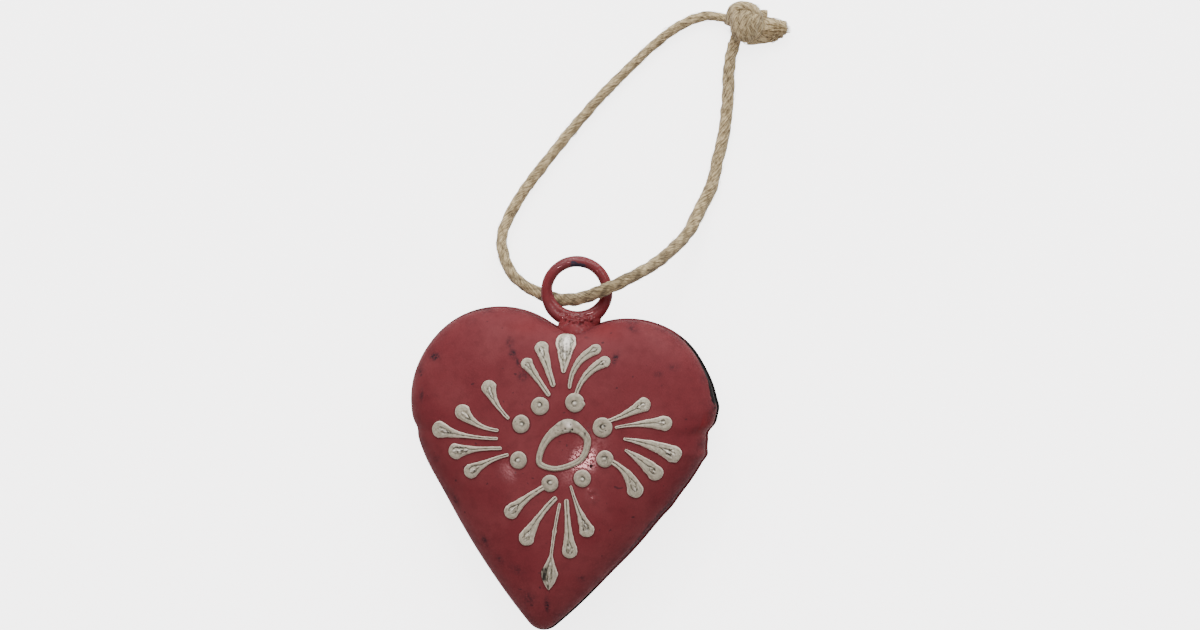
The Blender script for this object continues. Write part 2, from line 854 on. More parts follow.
@dataclass
class HeartForm:
    """The puffed form of the heart, as heights over its plan."""

    width: float = 0.0700
    length: float = 0.0724
    point_depth: float = 0.0428
    lobe_radius: float = 0.0203
    cleft_radius: float = 0.010
    side_radius: float = 0.165
    point_radius: float = 0.0042
    depth: float = 0.012
    wall: float = 0.0025
    flat: float = 0.0002
    gap: float = 0.0003
    crown_power: float = 3.0
    crown_root: float = 2.2
    # Knocks of the edge: bearing and half width in degrees, and how far out
    knocks: tuple = (
        (9.6, 2.4, -0.0013),
        (4.2, 3.6, -0.0006),
        (-8.0, 13.0, 0.0006),
        (179.5, 2.6, -0.0005),
        (190.0, 14.0, 0.0007),
        (1.0, 2.2, 0.0005),
        (6.8, 2.2, -0.0004),
        (18.2, 2.6, 0.0004),
        (33.0, 8.0, -0.0004),
        (150.0, 12.0, -0.0003),
        (-24.0, 5.0, 0.0003),
        (-64.0, 11.0, -0.0003),
    )
    # Blisters and pits of the front: across, along, radius and height
    bumps: tuple = (
        (0.0091, -0.0100, 0.00045, 0.00026),
        (0.0099, -0.0117, 0.00040, 0.00024),
        (0.0098, -0.0104, 0.00032, -0.00016),
    )
    softening: float = math.radians(40.0)

    def __post_init__(self) -> None:
        """Lay out the outline once, as reach against bearing."""
        lobe_top = self.length - self.point_depth
        lobe = complex(self.width / 2 - self.lobe_radius, lobe_top - self.lobe_radius)
        between = self.lobe_radius + self.cleft_radius
        cleft = complex(0, lobe.imag + math.sqrt(between**2 - lobe.real**2))
        point = complex(0, self.point_radius - self.point_depth)
        side = self.meeting(lobe, self.side_radius - self.lobe_radius, point)
        arcs = (
            (cleft, self.cleft_radius, -math.pi / 2, cmath.phase(lobe - cleft)),
            (lobe, self.lobe_radius, cmath.phase(cleft - lobe), cmath.phase(lobe - side)),
            (side, self.side_radius, cmath.phase(lobe - side), cmath.phase(point - side)),
            (point, self.point_radius, cmath.phase(point - side), -math.pi / 2),
        )
        right = np.concatenate(
            [c + r * np.exp(1j * np.linspace(start, end, 120)) for c, r, start, end in arcs]
        )
        whole = np.concatenate([right, -right.conj()])
        bearings, picks = np.unique(np.round(np.angle(whole) % math.tau, 7), return_index=True)
        self.bearings, self.reaches = bearings, np.abs(whole)[picks]
        self.fine = np.linspace(0, math.tau, 1441)
        offsets = np.linspace(-self.softening, self.softening, 9)
        weights = np.cos(offsets / self.softening * math.pi / 2) ** 2
        around = np.array([self.edge(self.fine + offset) for offset in offsets])
        self.softened = np.average(around, axis=0, weights=weights)
        self.seam = self.depth - self.flat

    def meeting(self, lobe: complex, lobe_reach: float, point: complex) -> complex:
        """Centre of the side's arc, at its own reach from the lobe's and the point's centres.

        Args:
            lobe: Centre of the lobe.
            lobe_reach: Distance of the side's centre from it.
            point: Centre of the point's arc.

        Returns:
            The centre on the left of the two possible ones.
        """
        point_reach = self.side_radius - self.point_radius
        between = point - lobe
        along = (lobe_reach**2 - point_reach**2 + abs(between) ** 2) / (2 * abs(between))
        off = math.sqrt(lobe_reach**2 - along**2)
        unit = between / abs(between)
        return min((lobe + unit * complex(along, turn * off) for turn in (1, -1)), key=lambda c: c.real)

    def edge(self, bearing: Points) -> Points:
        """Distance from the middle out to the seam, without its knocks."""
        return np.interp(bearing, self.bearings, self.reaches, period=math.tau)

    def parts(self, bearing: Points) -> tuple[Points, Points, Points]:
        """The softened edge, the edge and the knock at each bearing.

        Args:
            bearing: Bearings from the middle, in radians.

        Returns:
            The softened edge, the real edge and the knocks.
        """
        soft = np.interp(bearing, self.fine, self.softened, period=math.tau)
        knock = np.zeros_like(soft)
        for middle, half_width, depth in self.knocks:
            off = wrapped(bearing - math.radians(middle))
            knock += depth * bell(off, math.radians(half_width))
        return soft, self.edge(bearing), knock

    def contour(self, bearing: Points, share: Points) -> Points:
        """Distance out to a contour: round in the middle, the real edge at the seam."""
        soft, edge, knock = self.parts(bearing)
        return share * (soft + (edge - soft) * share**2) + knock * share**4

    def share_at(self, x: Points, y: Points) -> Points:
        """The contour that passes through each point on the plan, from 0 to 1.

        Args:
            x: Places across.
            y: Places along.

        Returns:
            The share of each point.
        """
        bearing, out = np.arctan2(y, x) % math.tau, np.hypot(x, y)
        soft, edge, knock = self.parts(bearing)
        share = np.minimum(out / edge, 1.0)
        for _ in range(14):
            share = np.minimum(out / (soft + (edge - soft) * share**2 + knock * share**3), 1.0)
        return share

    def crown(self, share: Points) -> Points:
        """Height of a pressed half above its wall, as a share."""
        return (1 - np.minimum(share, 1.0) ** self.crown_power) ** (1 / self.crown_root)

    def relief(self, x: Points, y: Points, share: Points) -> Points:
        """Small dents, blisters and pits of the front.

        Args:
            x: Places across.
            y: Places along.
            share: Share of the way out to the seam.

        Returns:
            Height above the smooth form.
        """
        places = on_floor(x, y)
        fade = clamp((1 - share) * 6)
        total = (0.00009 * grain(places, 0.010, 3) + 0.000022 * grain(places, 0.0036, 5)) * fade
        for across, along, radius, rise in self.bumps:
            total += rise * np.exp(-((x - across) ** 2 + (y - along) ** 2) / radius**2)
        return total

    def front(self, x: Points, y: Points) -> Points:
        """Height of the front's face over points on the plan.

        Args:
            x: Places across.
            y: Places along.

        Returns:
            The height over each point.
        """
        x, y = np.atleast_1d(np.asarray(x, float)), np.atleast_1d(np.asarray(y, float))
        share = self.share_at(x, y)
        rise = self.depth - self.wall
        return self.seam + self.wall + rise * self.crown(share) + self.relief(x, y, share)

    def on_plan(self, degrees: float, share: float) -> Points:
        """Point on the plan at a bearing and a share of the way out to the seam.

        Args:
            degrees: The bearing.
            share: Share of the way out.

        Returns:
            The point across and along.
        """
        bearing = math.radians(degrees)
        far = share * float(self.edge(np.array(bearing)))
        return np.array([far * math.cos(bearing), far * math.sin(bearing)])

    def spread(self, count: int) -> Points:
        """Bearings that lie closer together where the edge turns sharply.

        Args:
            count: How many bearings to return, besides the first again at the end.

        Returns:
            The bearings in radians.
        """
        far = self.contour(self.fine, np.ones_like(self.fine))
        line = far * np.exp(1j * self.fine)
        steps = np.diff(line)
        turns = np.abs(np.angle(np.roll(steps, -1) / steps))
        weights = np.abs(steps) / np.abs(steps).sum() + 0.5 * turns / turns.sum()
        travelled = np.concatenate([[0], np.cumsum(weights)]) / weights.sum()
        return np.interp(np.linspace(0, 1, count + 1), travelled, self.fine)


class Half(Enum):
    """The two pressed halves."""

    FRONT = "front_half"
    BACK = "back_half"


@dataclass
class PressedHalf:
    """One pressed sheet half, with its worn places."""

    form: HeartForm
    half: Half
    sides: int = 440
    rings: int = 84
    hem: float = 0.0005
    hem_top: float = 0.0017
    bare_depth: float = 0.0019
    # Where less of the hem's iron shows: bearing and half width in degrees, and how much less
    spared: tuple = ((80, 38, 0.7), (145, 40, 0.5), (4, 9, 0.6))
    # Brighter places below the cleft: across, along, half width, half height, strength
    glows: tuple = (
        (0.0085, 0.0262, 0.004, 0.0018, 0.5),
        (-0.0100, 0.0255, 0.004, 0.0018, 0.35),
    )
    # Scuffs of the front: across, along, half width, half height, tilt in degrees, strength
    scuffs: tuple = (
        (-0.0299, 0.0170, 0.0011, 0.0008, 20, 0.9),
        (-0.0330, 0.0135, 0.0008, 0.0007, 0, 0.7),
        (-0.0126, 0.0218, 0.0007, 0.0012, 10, 0.80),
        (-0.0116, 0.0196, 0.0008, 0.0008, 30, 0.80),
        (-0.0104, 0.0176, 0.0004, 0.0012, 25, 0.60),
        (-0.0088, 0.0149, 0.0011, 0.0012, 0, 0.75),
        (0.0073, 0.0037, 0.0005, 0.0010, 10, 0.85),
        (0.0115, 0.0204, 0.0006, 0.0015, -20, 0.90),
        (0.0248, 0.0199, 0.0011, 0.0007, 0, 0.55),
        (0.0147, 0.0276, 0.0014, 0.0006, -10, 0.45),
        (0.0315, 0.0215, 0.0009, 0.0009, 40, 0.7),
        (0.0217, 0.0180, 0.0009, 0.0006, 0, 0.4),
        (-0.0141, -0.0239, 0.0007, 0.0013, 30, 0.65),
        (-0.0063, -0.0293, 0.0018, 0.0010, -20, 0.4),
        (-0.0032, -0.0358, 0.0016, 0.0014, 50, 0.45),
        (0.0085, -0.0301, 0.0009, 0.0006, 0, 0.45),
        (-0.0270, -0.0061, 0.0010, 0.0007, 0, 0.45),
        (-0.0258, 0.0288, 0.0017, 0.0007, 35, 0.5),
        (-0.0320, 0.0081, 0.0005, 0.0014, 0, 0.5),
        (-0.0220, -0.0150, 0.0006, 0.0018, 30, 0.5),
        (-0.0104, -0.0276, 0.0007, 0.0014, 30, 0.4),
        (0.0013, -0.0368, 0.0005, 0.0017, 8, 0.95),
        (0.0014, 0.0228, 0.0006, 0.0004, 0, 0.4),
        (0.0046, 0.0247, 0.0007, 0.0004, 0, 0.4),
    )

    def profile(self) -> Points:
        """Share, outset and height above the seam of each ring, from the middle outwards.

        Returns:
            One row for each ring.
        """
        shares = np.sin(np.linspace(0, 1, self.rings + 1) * math.pi / 2)
        rise = self.form.depth - self.form.wall
        rows = [(s, 0.0, self.form.wall + rise * h) for s, h in zip(shares, self.form.crown(shares))]
        foot = self.form.gap / 2
        if self.half is Half.FRONT:
            rows += [(1.0, 0.0, level) for level in np.linspace(self.form.wall, foot, 8)[1:]]
        else:
            rows += [(1.0, 0.0, level) for level in np.linspace(self.form.wall, self.hem_top, 4)[1:]]
            for turn in np.linspace(0, math.pi / 2, 6):
                level = self.hem_top - self.hem * (1 - math.cos(turn))
                rows.append((1.0, self.hem * math.sin(turn), level))
            rows.append((1.0, self.hem, foot * 2))
            rows.append((1.0, self.hem - foot / 2, foot))
        rows.append((0.0, 0.0, foot))
        return np.array(rows)

    def build(self, finishes: Finishes) -> Item:
        """Make the half and dress it.

        Args:
            finishes: The materials.

        Returns:
            The finished piece.
        """
        rows = self.profile()
        item, turn, run = rolled_grid(self.half.value + "_shell", self.sides, len(rows) - 1)
        step = np.round(run * (len(rows) - 1)).astype(int)
        side = np.round(turn * self.sides).astype(int) % self.sides
        bearing = self.form.spread(self.sides)[side]
        share, outset, level = rows[step].T
        far = self.form.contour(bearing, share) + outset
        x, y = far * np.cos(bearing), far * np.sin(bearing)
        front = self.half is Half.FRONT
        if front:
            on_top = step <= self.rings
            z = self.form.seam + level + np.where(on_top, self.form.relief(x, y, share), 0)
            self.wear_front(item, x, y, z, share)
        else:
            z = np.maximum(self.form.seam - level, 0.0)
            self.wear_back(item, x, y, z, outset)
        item = close_up(item, np.column_stack([x, y, z]))
        item.data.materials.append(finishes.front if front else finishes.back)
        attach(item, "root")
        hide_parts(self.half.value)
        return item

    def wear_back(self, item: Item, x: Points, y: Points, z: Points, outset: Points) -> None:
        """Mark the bare iron of the hem and the rubbed places of the back.

        Args:
            item: The half.
            x: Places across.
            y: Places along.
            z: Heights.
            outset: How far each vertex stands out from the wall.
        """
        places = np.column_stack([x, y, z])
        degrees = np.degrees(np.arctan2(y, x))
        kept = bell(degrees + 35, 38, 4)
        bare = np.where(z > self.form.seam - self.bare_depth, 0.9, 0.0) * (1 - 0.62 * kept)
        bare = np.where(outset < 0.75 * self.hem, 0.35 * bare, bare)
        for middle, width, less in self.spared:
            bare *= 1 - less * bell(degrees - middle, width, 4)
        iron = bare * (0.85 + 0.35 * grain(places, 0.003, 8))
        rub = bell(z, 0.0008) * clamp(grain(places, 0.0035, 9) + 0.2) * 0.5
        scuff = rub + 0.25 * clamp(grain(places, 0.006, 4))
        mark(item, "wear", scuff, iron, 0 * z)

    def wear_front(self, item: Item, x: Points, y: Points, z: Points, share: Points) -> None:
        """Mark the scuffs, the bare iron along the edge and the brighter spots of the front.

        Args:
            item: The half.
            x: Places across.
            y: Places along.
            z: Heights.
            share: Share of the way out to the seam.
        """
        places = np.column_stack([x, y, z])
        above = z - self.form.seam
        scuff = np.zeros_like(x)
        for across, along, wide, tall, tilt, strength in self.scuffs:
            c, s = math.cos(math.radians(tilt)), math.sin(math.radians(tilt))
            u, v = (x - across) * c + (y - along) * s, (y - along) * c - (x - across) * s
            bent = (u / wide) ** 2 + (v / tall) ** 2 + 0.8 * grain(places, 0.0009, 12)
            scuff = np.maximum(scuff, strength * np.exp(-np.maximum(bent, 0)))
        rim = np.exp(-((1 - share) / 0.05)) * clamp(grain(places, 0.0028, 6) + 0.05)
        bearing = np.degrees(np.arctan2(y, x))
        # Soot on the side wall at the lower right, in a band that narrows to both ends
        band = 0.0272 * bell(bearing + 33, 24) + 0.002
        soot = bell(bearing + 38, 34, 4) * clamp((share - 1 + band) / 0.005)
        scuff = np.maximum.reduce([1.35 * scuff, 0.9 * rim, 0.72 * soot])
        # Iron: the thin line of the seam, the worn shoulder at the right and the knock beside it
        line = bell(above, 0.00045) * 0.75
        line = line * (1 - 0.6 * bell(bearing - 74, 30, 4))
        reach = 0.0030 + 0.0026 * bell(bearing - 21, 11)
        shoulder = bell(bearing - 31, 16, 4) * clamp((reach - above) / 0.0009)
        knock = bell(bearing - 7, 4.0) * clamp((0.0036 - above) / 0.001)
        torn = 0.10 * grain(places, 0.0012, 21)
        iron = np.maximum.reduce([line, 0.72 * shoulder, 0.28 * knock]) + torn
        # Fresher enamel beside the knock
        bright = 0.6 * bell(bearing - 13, 3.0) * clamp((above - 0.001) / 0.002)
        bright = bright * (share > 0.93)
        for across, along, wide, tall, strength in self.glows:
            bright += strength * blot(x - across, y - along, wide, tall)
        mark(item, "wear", scuff, np.where(above < 0.009, iron, 0), bright)


# ---- Ring and weld


@dataclass
class HangingRing:
    """The wire ring in the cleft, with its lump of weld, under one coat of enamel."""

    form: HeartForm
    wire: float = 0.00255
    bore: float = 0.0115
    web: float = 0.0022
    web_rise: float = 0.00088
    web_squash: float = 0.92
    # The chip at the top: bearing and half width in degrees
    chip: tuple[float, float] = (92, 28)
    # The nick above it: across, along, half width and half height
    nick: tuple = (-0.0006, 0.0416, 0.0012, 0.0006)
    middle: tuple[float, float] = (0.0006, 0.034895)
    voxel: float = 0.00016
    # Web and lumps of weld: across, along and above the seam, and radii across, along and up
    blobs: tuple = (
        (0.0019, 0.0281, 0.0003, 0.0045, 0.0018, 0.0014),
        (0.0014, 0.0269, 0.0016, 0.0043, 0.0022, 0.0018),
        (-0.0021, 0.0288, 0.0002, 0.0012, 0.0014, 0.0012),
        (0.0054, 0.0288, 0.0001, 0.0014, 0.0012, 0.0011),
        (0.0012, 0.0276, -0.0014, 0.0034, 0.0018, 0.0016),
        (0.0016, 0.0250, 0.0000, 0.0050, 0.0044, 0.0061),
        (0.0006, 0.0289, 0.0028, 0.0006, 0.0005, 0.0007),
        (0.0019, 0.0286, 0.0035, 0.0005, 0.0006, 0.0006),
        (0.0034, 0.0288, 0.0028, 0.0006, 0.0005, 0.0007),
        (0.0012, 0.0279, 0.0047, 0.0006, 0.0004, 0.0005),
        (0.0028, 0.0281, 0.0044, 0.0005, 0.0005, 0.0005),
        (-0.0008, 0.0286, 0.0026, 0.0006, 0.0004, 0.0006),
        (0.0046, 0.0289, 0.0020, 0.0005, 0.0005, 0.0006),
        (0.0001, 0.0282, 0.0040, 0.0004, 0.0004, 0.0004),
    )

    def build(self, finishes: Finishes) -> Item:
        """Make the ring and its weld as one skin, and dress it.

        Args:
            finishes: The materials.

        Returns:
            The finished piece.
        """
        x, y = self.middle
        parts = []
        wires = ((y, self.wire, 1.0), (y + self.web_rise, self.web, self.web_squash))
        for along, thickness, squash in wires:
            deselect()
            bpy.ops.mesh.primitive_torus_add(
                major_segments=160,
                minor_segments=28,
                major_radius=(self.bore + thickness) / 2,
                minor_radius=thickness / 2,
                location=(x, along, self.form.seam),
            )
            bpy.context.object.scale = (1.0, squash, 1.0)
            parts.append(bpy.context.object)
        for x, y, z, *radii in self.blobs:
            bpy.ops.mesh.primitive_ico_sphere_add(
                subdivisions=4, radius=1.0, location=(x, y, self.form.seam + z), scale=radii
            )
            parts.append(bpy.context.object)
        ring = join("hanging_ring_skin", parts)
        bpy.ops.object.transform_apply(location=True, rotation=True, scale=True)
        remesh = ring.modifiers.new("One skin", "REMESH")
        remesh.mode, remesh.voxel_size = "VOXEL", self.voxel
        smooth = ring.modifiers.new("Flowed", "SMOOTH")
        smooth.factor, smooth.iterations = 0.5, 4
        apply_modifiers(ring)
        places = coordinates(ring)
        normals = np.empty(len(places) * 3, np.float32)
        ring.data.vertices.foreach_get("normal", normals)
        low = blot(places[:, 0] - 0.0018, places[:, 1] - 0.0284, 0.0034, 0.0011, 4)
        rough = 0.00003 * grain(places, 0.0022, 2) + low * (
            0.00020 * grain(places, 0.0010, 31) + 0.00019 * grain(places, 0.0005, 33)
        )
        places += normals.reshape(-1, 3) * rough[:, None]
        put_coordinates(ring, places)
        self.wear(ring, places)
        take_up(ring)
        bpy.ops.object.shade_smooth()
        ring.data.materials.append(finishes.ring)
        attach(ring, "root")
        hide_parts("hanging_ring")
        return ring

    def wear(self, ring: Item, places: Points) -> None:
        """Mark the chip at the top of the ring, the hollows of the weld and the scuffs.

        Args:
            ring: The ring and its weld.
            places: Its vertices.
        """
        x, y = places.T[:2]
        cx, cy = self.middle
        reach = np.hypot(x - cx, y - cy)
        inner = clamp(((self.bore + self.wire) / 2 - reach) / 0.0009 + 0.35)
        bearing = np.degrees(np.arctan2(y - cy, x - cx))
        middle, width = self.chip
        chip = bell(bearing - middle, width) * inner + 0.20 * grain(places, 0.0007, 14)
        across, along, wide, tall = self.nick
        nick = blot(x - across, y - along, wide, tall)
        low = blot(x - 0.0018, y - 0.0282, 0.0036, 0.0014, 4)
        sunk = -grain(places, 0.0010, 31) * 1.4 - grain(places, 0.0005, 33) * 1.2 - 0.2
        hollow = low * clamp(sunk)
        uneven = np.clip(1.1 + 1.6 * grain(places, 0.0006, 35), 0.35, 1)
        matt = clamp((0.0290 - y) / 0.0010) * uneven
        scuff = np.maximum(hollow, 0.3 * grain(places, 0.002, 15))
        mark(ring, "wear", scuff, np.maximum(0.60 * chip, 0.62 * nick), matt)


# ---- Raised paint


@dataclass(frozen=True)
class Drop:
    """One drop of paint: where its head and tail lie, and how it has dried."""

    name: str
    head: tuple[float, float]
    tip: tuple[float, float]
    width: float
    bend: float = 0.0
    taper: float = 1.6
    joined: str | None = None
    blunt: float = 2.0
    pointed: float = 0.0
    tail: float = 0.00105
    bright: float = 0.6
    grey: float = 0.0


DOTS: dict[str, tuple[float, float, float]] = {
    "paint_dot_1": (117, 0.28, 0.00205),
    "paint_dot_2": (70, 0.335, 0.00220),
    "paint_dot_3": (25, 0.305, 0.00225),
    "paint_dot_4": (-11, 0.39, 0.00195),
    "paint_dot_5": (-46, 0.34, 0.00200),
    "paint_dot_6": (-92, 0.21, 0.00195),
    "paint_dot_7": (-151, 0.32, 0.00200),
    "paint_dot_8": (155, 0.24, 0.00210),
}

DROPS: tuple[Drop, ...] = (
    Drop("paint_drop_top_1", (115, 0.59), (102, 0.39), 0.0028, taper=2.5),
    Drop("paint_drop_top_2", (104, 0.76), (97, 0.49), 0.0031, taper=1.8, tail=0.0012),
    Drop(
        "paint_drop_top_3", (90, 0.885), (89, 0.63), 0.0046,
        taper=1.0, blunt=3.0, tail=0.0011, bright=1.0,
    ),
    Drop("paint_drop_top_4", (71, 0.75), (81, 0.48), 0.0024, -0.17, 1.3, tail=0.00085, grey=0.75),
    Drop("paint_drop_top_5", (63, 0.65), (73, 0.41), 0.0025, -0.14, 1.5, "paint_dot_2", tail=0.0009),
    Drop("paint_drop_right_1", (30, 0.58), (31, 0.34), 0.0033, 0.03, 2.2, "paint_dot_3", tail=0.0009),
    Drop("paint_drop_right_2", (16, 0.69), (21, 0.38), 0.0035, -0.03, 2.0, tail=0.0006, bright=0.7),
    Drop(
        "paint_drop_right_3", (0, 0.81), (10, 0.44), 0.0038, -0.05, 1.25,
        tail=0.0006, blunt=2.8, bright=1.0,
    ),
    Drop("paint_drop_right_4", (-11, 0.77), (1, 0.48), 0.0037, -0.04, 1.0, tail=0.0006),
    Drop("paint_drop_right_5", (-26, 0.71), (-11, 0.46), 0.0038, -0.13, 1.7, "paint_dot_4"),
    Drop("paint_drop_bottom_1", (-64, 0.64), (-64, 0.31), 0.0034, 0.02, 2.3, tail=0.0006, bright=0.8),
    Drop("paint_drop_bottom_2", (-77, 0.66), (-73, 0.36), 0.0036, 0.0, 2.9, tail=0.0011),
    Drop(
        "paint_drop_bottom_3", (-87, 0.71), (-80, 0.35), 0.0042, 0.02, 1.8, pointed=0.0012, tail=0.0007
    ),
    Drop("paint_drop_bottom_4", (-101, 0.59), (-83, 0.30), 0.0037, 0.05, 3.2, tail=0.0012, bright=0.45),
    Drop(
        "paint_drop_bottom_5", (-117, 0.57), (-98, 0.25), 0.0036, 0.04, 2.6, "paint_dot_6", tail=0.0012
    ),
    Drop("paint_drop_left_1", (-156, 0.70), (-162, 0.37), 0.0035, 0.05, 2.8, tail=0.0008),
    Drop("paint_drop_left_2", (-170, 0.75), (-170, 0.40), 0.0036, 0.02, 3.0, tail=0.0008),
    Drop("paint_drop_left_3", (178, 0.80), (180, 0.40), 0.0040, -0.04, 3.6, tail=0.0007, bright=0.75),
    Drop("paint_drop_left_4", (165, 0.61), (172, 0.38), 0.0037, -0.12, 2.8, tail=0.0008),
    Drop("paint_drop_left_5", (144, 0.52), (157, 0.32), 0.0035, -0.08, 2.6, tail=0.0008, bright=0.8),
)

LOOP_LINE: tuple[tuple[float, float, float], ...] = (
    (59.0, 0.1531, 2.4),
    (32.0, 0.1752, 1.5),
    (9.3, 0.2105, 1.2),
    (-25.4, 0.2356, 1.0),
    (-77.5, 0.1492, 0.9),
    (-117.5, 0.1768, 1.0),
    (-135.9, 0.1590, 1.05),
    (172.6, 0.0668, 1.3),
    (93.9, 0.1117, 1.8),
)


@dataclass
class PaintWork:
    """The raised paint: dots, drops and the loop, each a piece, and the varnish round them."""

    form: HeartForm
    height: float = 0.0006
    dot_height: float = 0.00062
    loop_width: float = 0.0013
    sunk: float = 0.00008
    # Rows of a pool's ribbon: distance out from the paint, height above the enamel, strength
    pool_rows: tuple = (
        (-0.00012, 0.00002, 1.0),
        (0.00002, 0.00004, 0.95),
        (0.00014, 0.00003, 0.62),
        (0.00024, 0.00002, 0.22),
        (0.00036, -0.00001, 0.0),
    )
    outlines: list = field(default_factory=list)

    def build(self, finishes: Finishes) -> list[Item]:
        """Make every dab of paint and the varnish round them.

        Args:
            finishes: The materials.

        Returns:
            The finished pieces.
        """
        items = [self.dot(name, finishes) for name in DOTS]
        items += [self.drop(drop, index, finishes) for index, drop in enumerate(DROPS)]
        items.append(self.loop(finishes))
        items.append(self.pools(finishes))
        return items

    def lay(
        self, item: Item, node: str, finishes: Finishes, x: Points, y: Points, rise: Points
    ) -> Item:
        """Set a dab of paint on the enamel and dress it.

        Args:
            item: Its rolled grid.
            node: The CAD node that it stands for.
            finishes: The materials.
            x: Place of each vertex across.
            y: Place of each vertex along.
            rise: Height of each vertex above the enamel.

        Returns:
            The finished piece.
        """
        close_up(item, np.column_stack([x, y, self.form.front(x, y) + rise]), weld=2e-6)
        item.data.materials.append(finishes.paint)
        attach(item, "root")
        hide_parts(node)
        return item

    def dot(self, name: str, finishes: Finishes) -> Item:
        """A round dot with a nipple, a half ring above it and a soft rim.

        Args:
            name: Name of its CAD node.
            finishes: The materials.

        Returns:
            The finished piece.
        """
        degrees, share, radius = DOTS[name]
        seed = int(name[-1])
        middle = self.form.on_plan(degrees, share)
        rings = np.concatenate([np.linspace(0, 0.9, 20), np.linspace(0.93, 1.0, 6), [1.0, 0.0]])
        item, turn, run = rolled_grid(name + "_dab", 72, len(rings) - 1)
        step = np.round(run * (len(rings) - 1)).astype(int)
        angle, out = turn * math.tau, rings[step]
        ring_places = np.column_stack([np.cos(angle), np.sin(angle), np.full_like(angle, seed)])
        uneven = 1 + 0.035 * grain(ring_places, 0.8, seed) + 0.012 * grain(ring_places, 0.3, seed)
        if name == "paint_dot_2":
            uneven += 0.10 * bell(wrapped(angle - 6.22), 0.16)
            uneven -= 0.07 * bell(wrapped(angle - 0.28), 0.14)
        if name == "paint_dot_7":
            uneven *= 1 - 0.06 * np.cos(angle) ** 2
        if name == "paint_dot_8":
            uneven *= 1 - 0.07 * np.cos(angle) ** 2
        reach = radius * uneven * out
        x, y = middle[0] + reach * np.cos(angle), middle[1] + reach * np.sin(angle)
        places = on_floor(x, y)
        edge = 0.86 * np.sqrt(np.maximum(0, 1 - out**7))
        aside = 0.09 * radius * np.array([math.cos(2.3 * seed), math.sin(2.3 * seed)])
        off_x, off_y = x - middle[0] - aside[0], y - middle[1] - aside[1]
        near = np.hypot(off_x, off_y) / radius * (1 + 0.25 * grain(places, 0.0006, 80 + seed))
        toward = np.arctan2(off_y, off_x) - 0.3 + 0.9 * math.sin(1.7 * seed)
        nipple = 0.46 * bell(near, 0.16)
        upper = clamp(0.35 + 0.80 * np.sin(toward))
        dimple = 0.24 * bell(near - 0.30, 0.09) * (0.25 + upper)
        bowl = 0.10 * bell(out, 0.55)
        lumps = 0.035 * grain(places, 0.0005, seed) * (out < 0.92)
        rise = self.dot_height * (edge + nipple - dimple - bowl + lumps)
        under = step >= len(rings) - 2
        rise = np.where(under, -self.sunk, rise)
        rim = clamp((out - 0.84) / 0.12) * 0.62
        lower = bell(wrapped(angle + 2.1 - 0.25 * seed), 0.8)
        crease = bell(near - 0.27, 0.072) * np.maximum(upper, 0.4 * lower)
        depth = {3: 2.6, 4: 1.6, 7: 1.6, 8: 2.4}.get(seed, 0.5)
        pores = clamp(grain(places, 0.0006, 40 + seed) - 0.55)
        pores = pores * depth * (out < 0.8) * (out > 0.36)
        shaded_side = 0.16 * clamp(out * 1.4 - 0.3) * (0.5 - 0.5 * np.sin(angle))
        pores = np.maximum(pores, 0.16 + shaded_side)
        if name == "paint_dot_3":
            rotten = clamp(grain(places, 0.0005, 47) - 0.15) * 3 * (out < 0.5)
            pores = np.maximum(pores, rotten)
        if name == "paint_dot_4":
            along_crack = np.abs((x - middle[0]) - 0.00075 - 0.15 * (y - middle[1]))
            short = np.abs(y - middle[1] + 0.0003) < 0.0007
            pores = np.maximum(pores, bell(along_crack, 0.00008) * short)
        crest = bell(near, 0.13) * (0.75 + 0.15 * math.cos(seed))
        mark(item, "paint", rim, crease + pores, crest)
        fine = np.linspace(0, math.tau, 90, endpoint=False)
        circle = np.column_stack([radius * np.cos(fine), radius * np.sin(fine)])
        self.outlines.append(middle + circle)
        return self.lay(item, name, finishes, x, y, rise)

    def half_width(self, drop: Drop, travelled: Points, length: float) -> Points:
        """Half the width of a drop at a distance from the end of its head.

        Args:
            drop: The drop.
            travelled: Distances from the end of its head.
            length: Its whole length.

        Returns:
            Half the width there.
        """
        head, tail = drop.width / 2, drop.tail / 2
        left = length - travelled
        run = clamp((travelled - head) / (length - head - tail))
        body = tail + (head - tail) * (1 - run) ** drop.taper
        round_end = clamp(1 - travelled / head)
        if drop.pointed:
            narrowing = clamp(1 - (travelled - 0.0040) / 0.0042)
            neck = tail + 0.00012 * bell(travelled - 0.0135, 0.0005)
            body = np.maximum(neck, tail + (head - tail) * narrowing**1.3)
            other = head * 1.12 * clamp(travelled / 0.0040) ** 0.75 + 0.00003
            body = (body**-6 + other**-6) ** (-1 / 6)
        else:
            body = body * np.maximum(0, 1 - round_end**drop.blunt) ** (1 / drop.blunt)
        tip = clamp(1 - left / tail)
        return body * np.sqrt(np.maximum(0, 1 - tip**2))

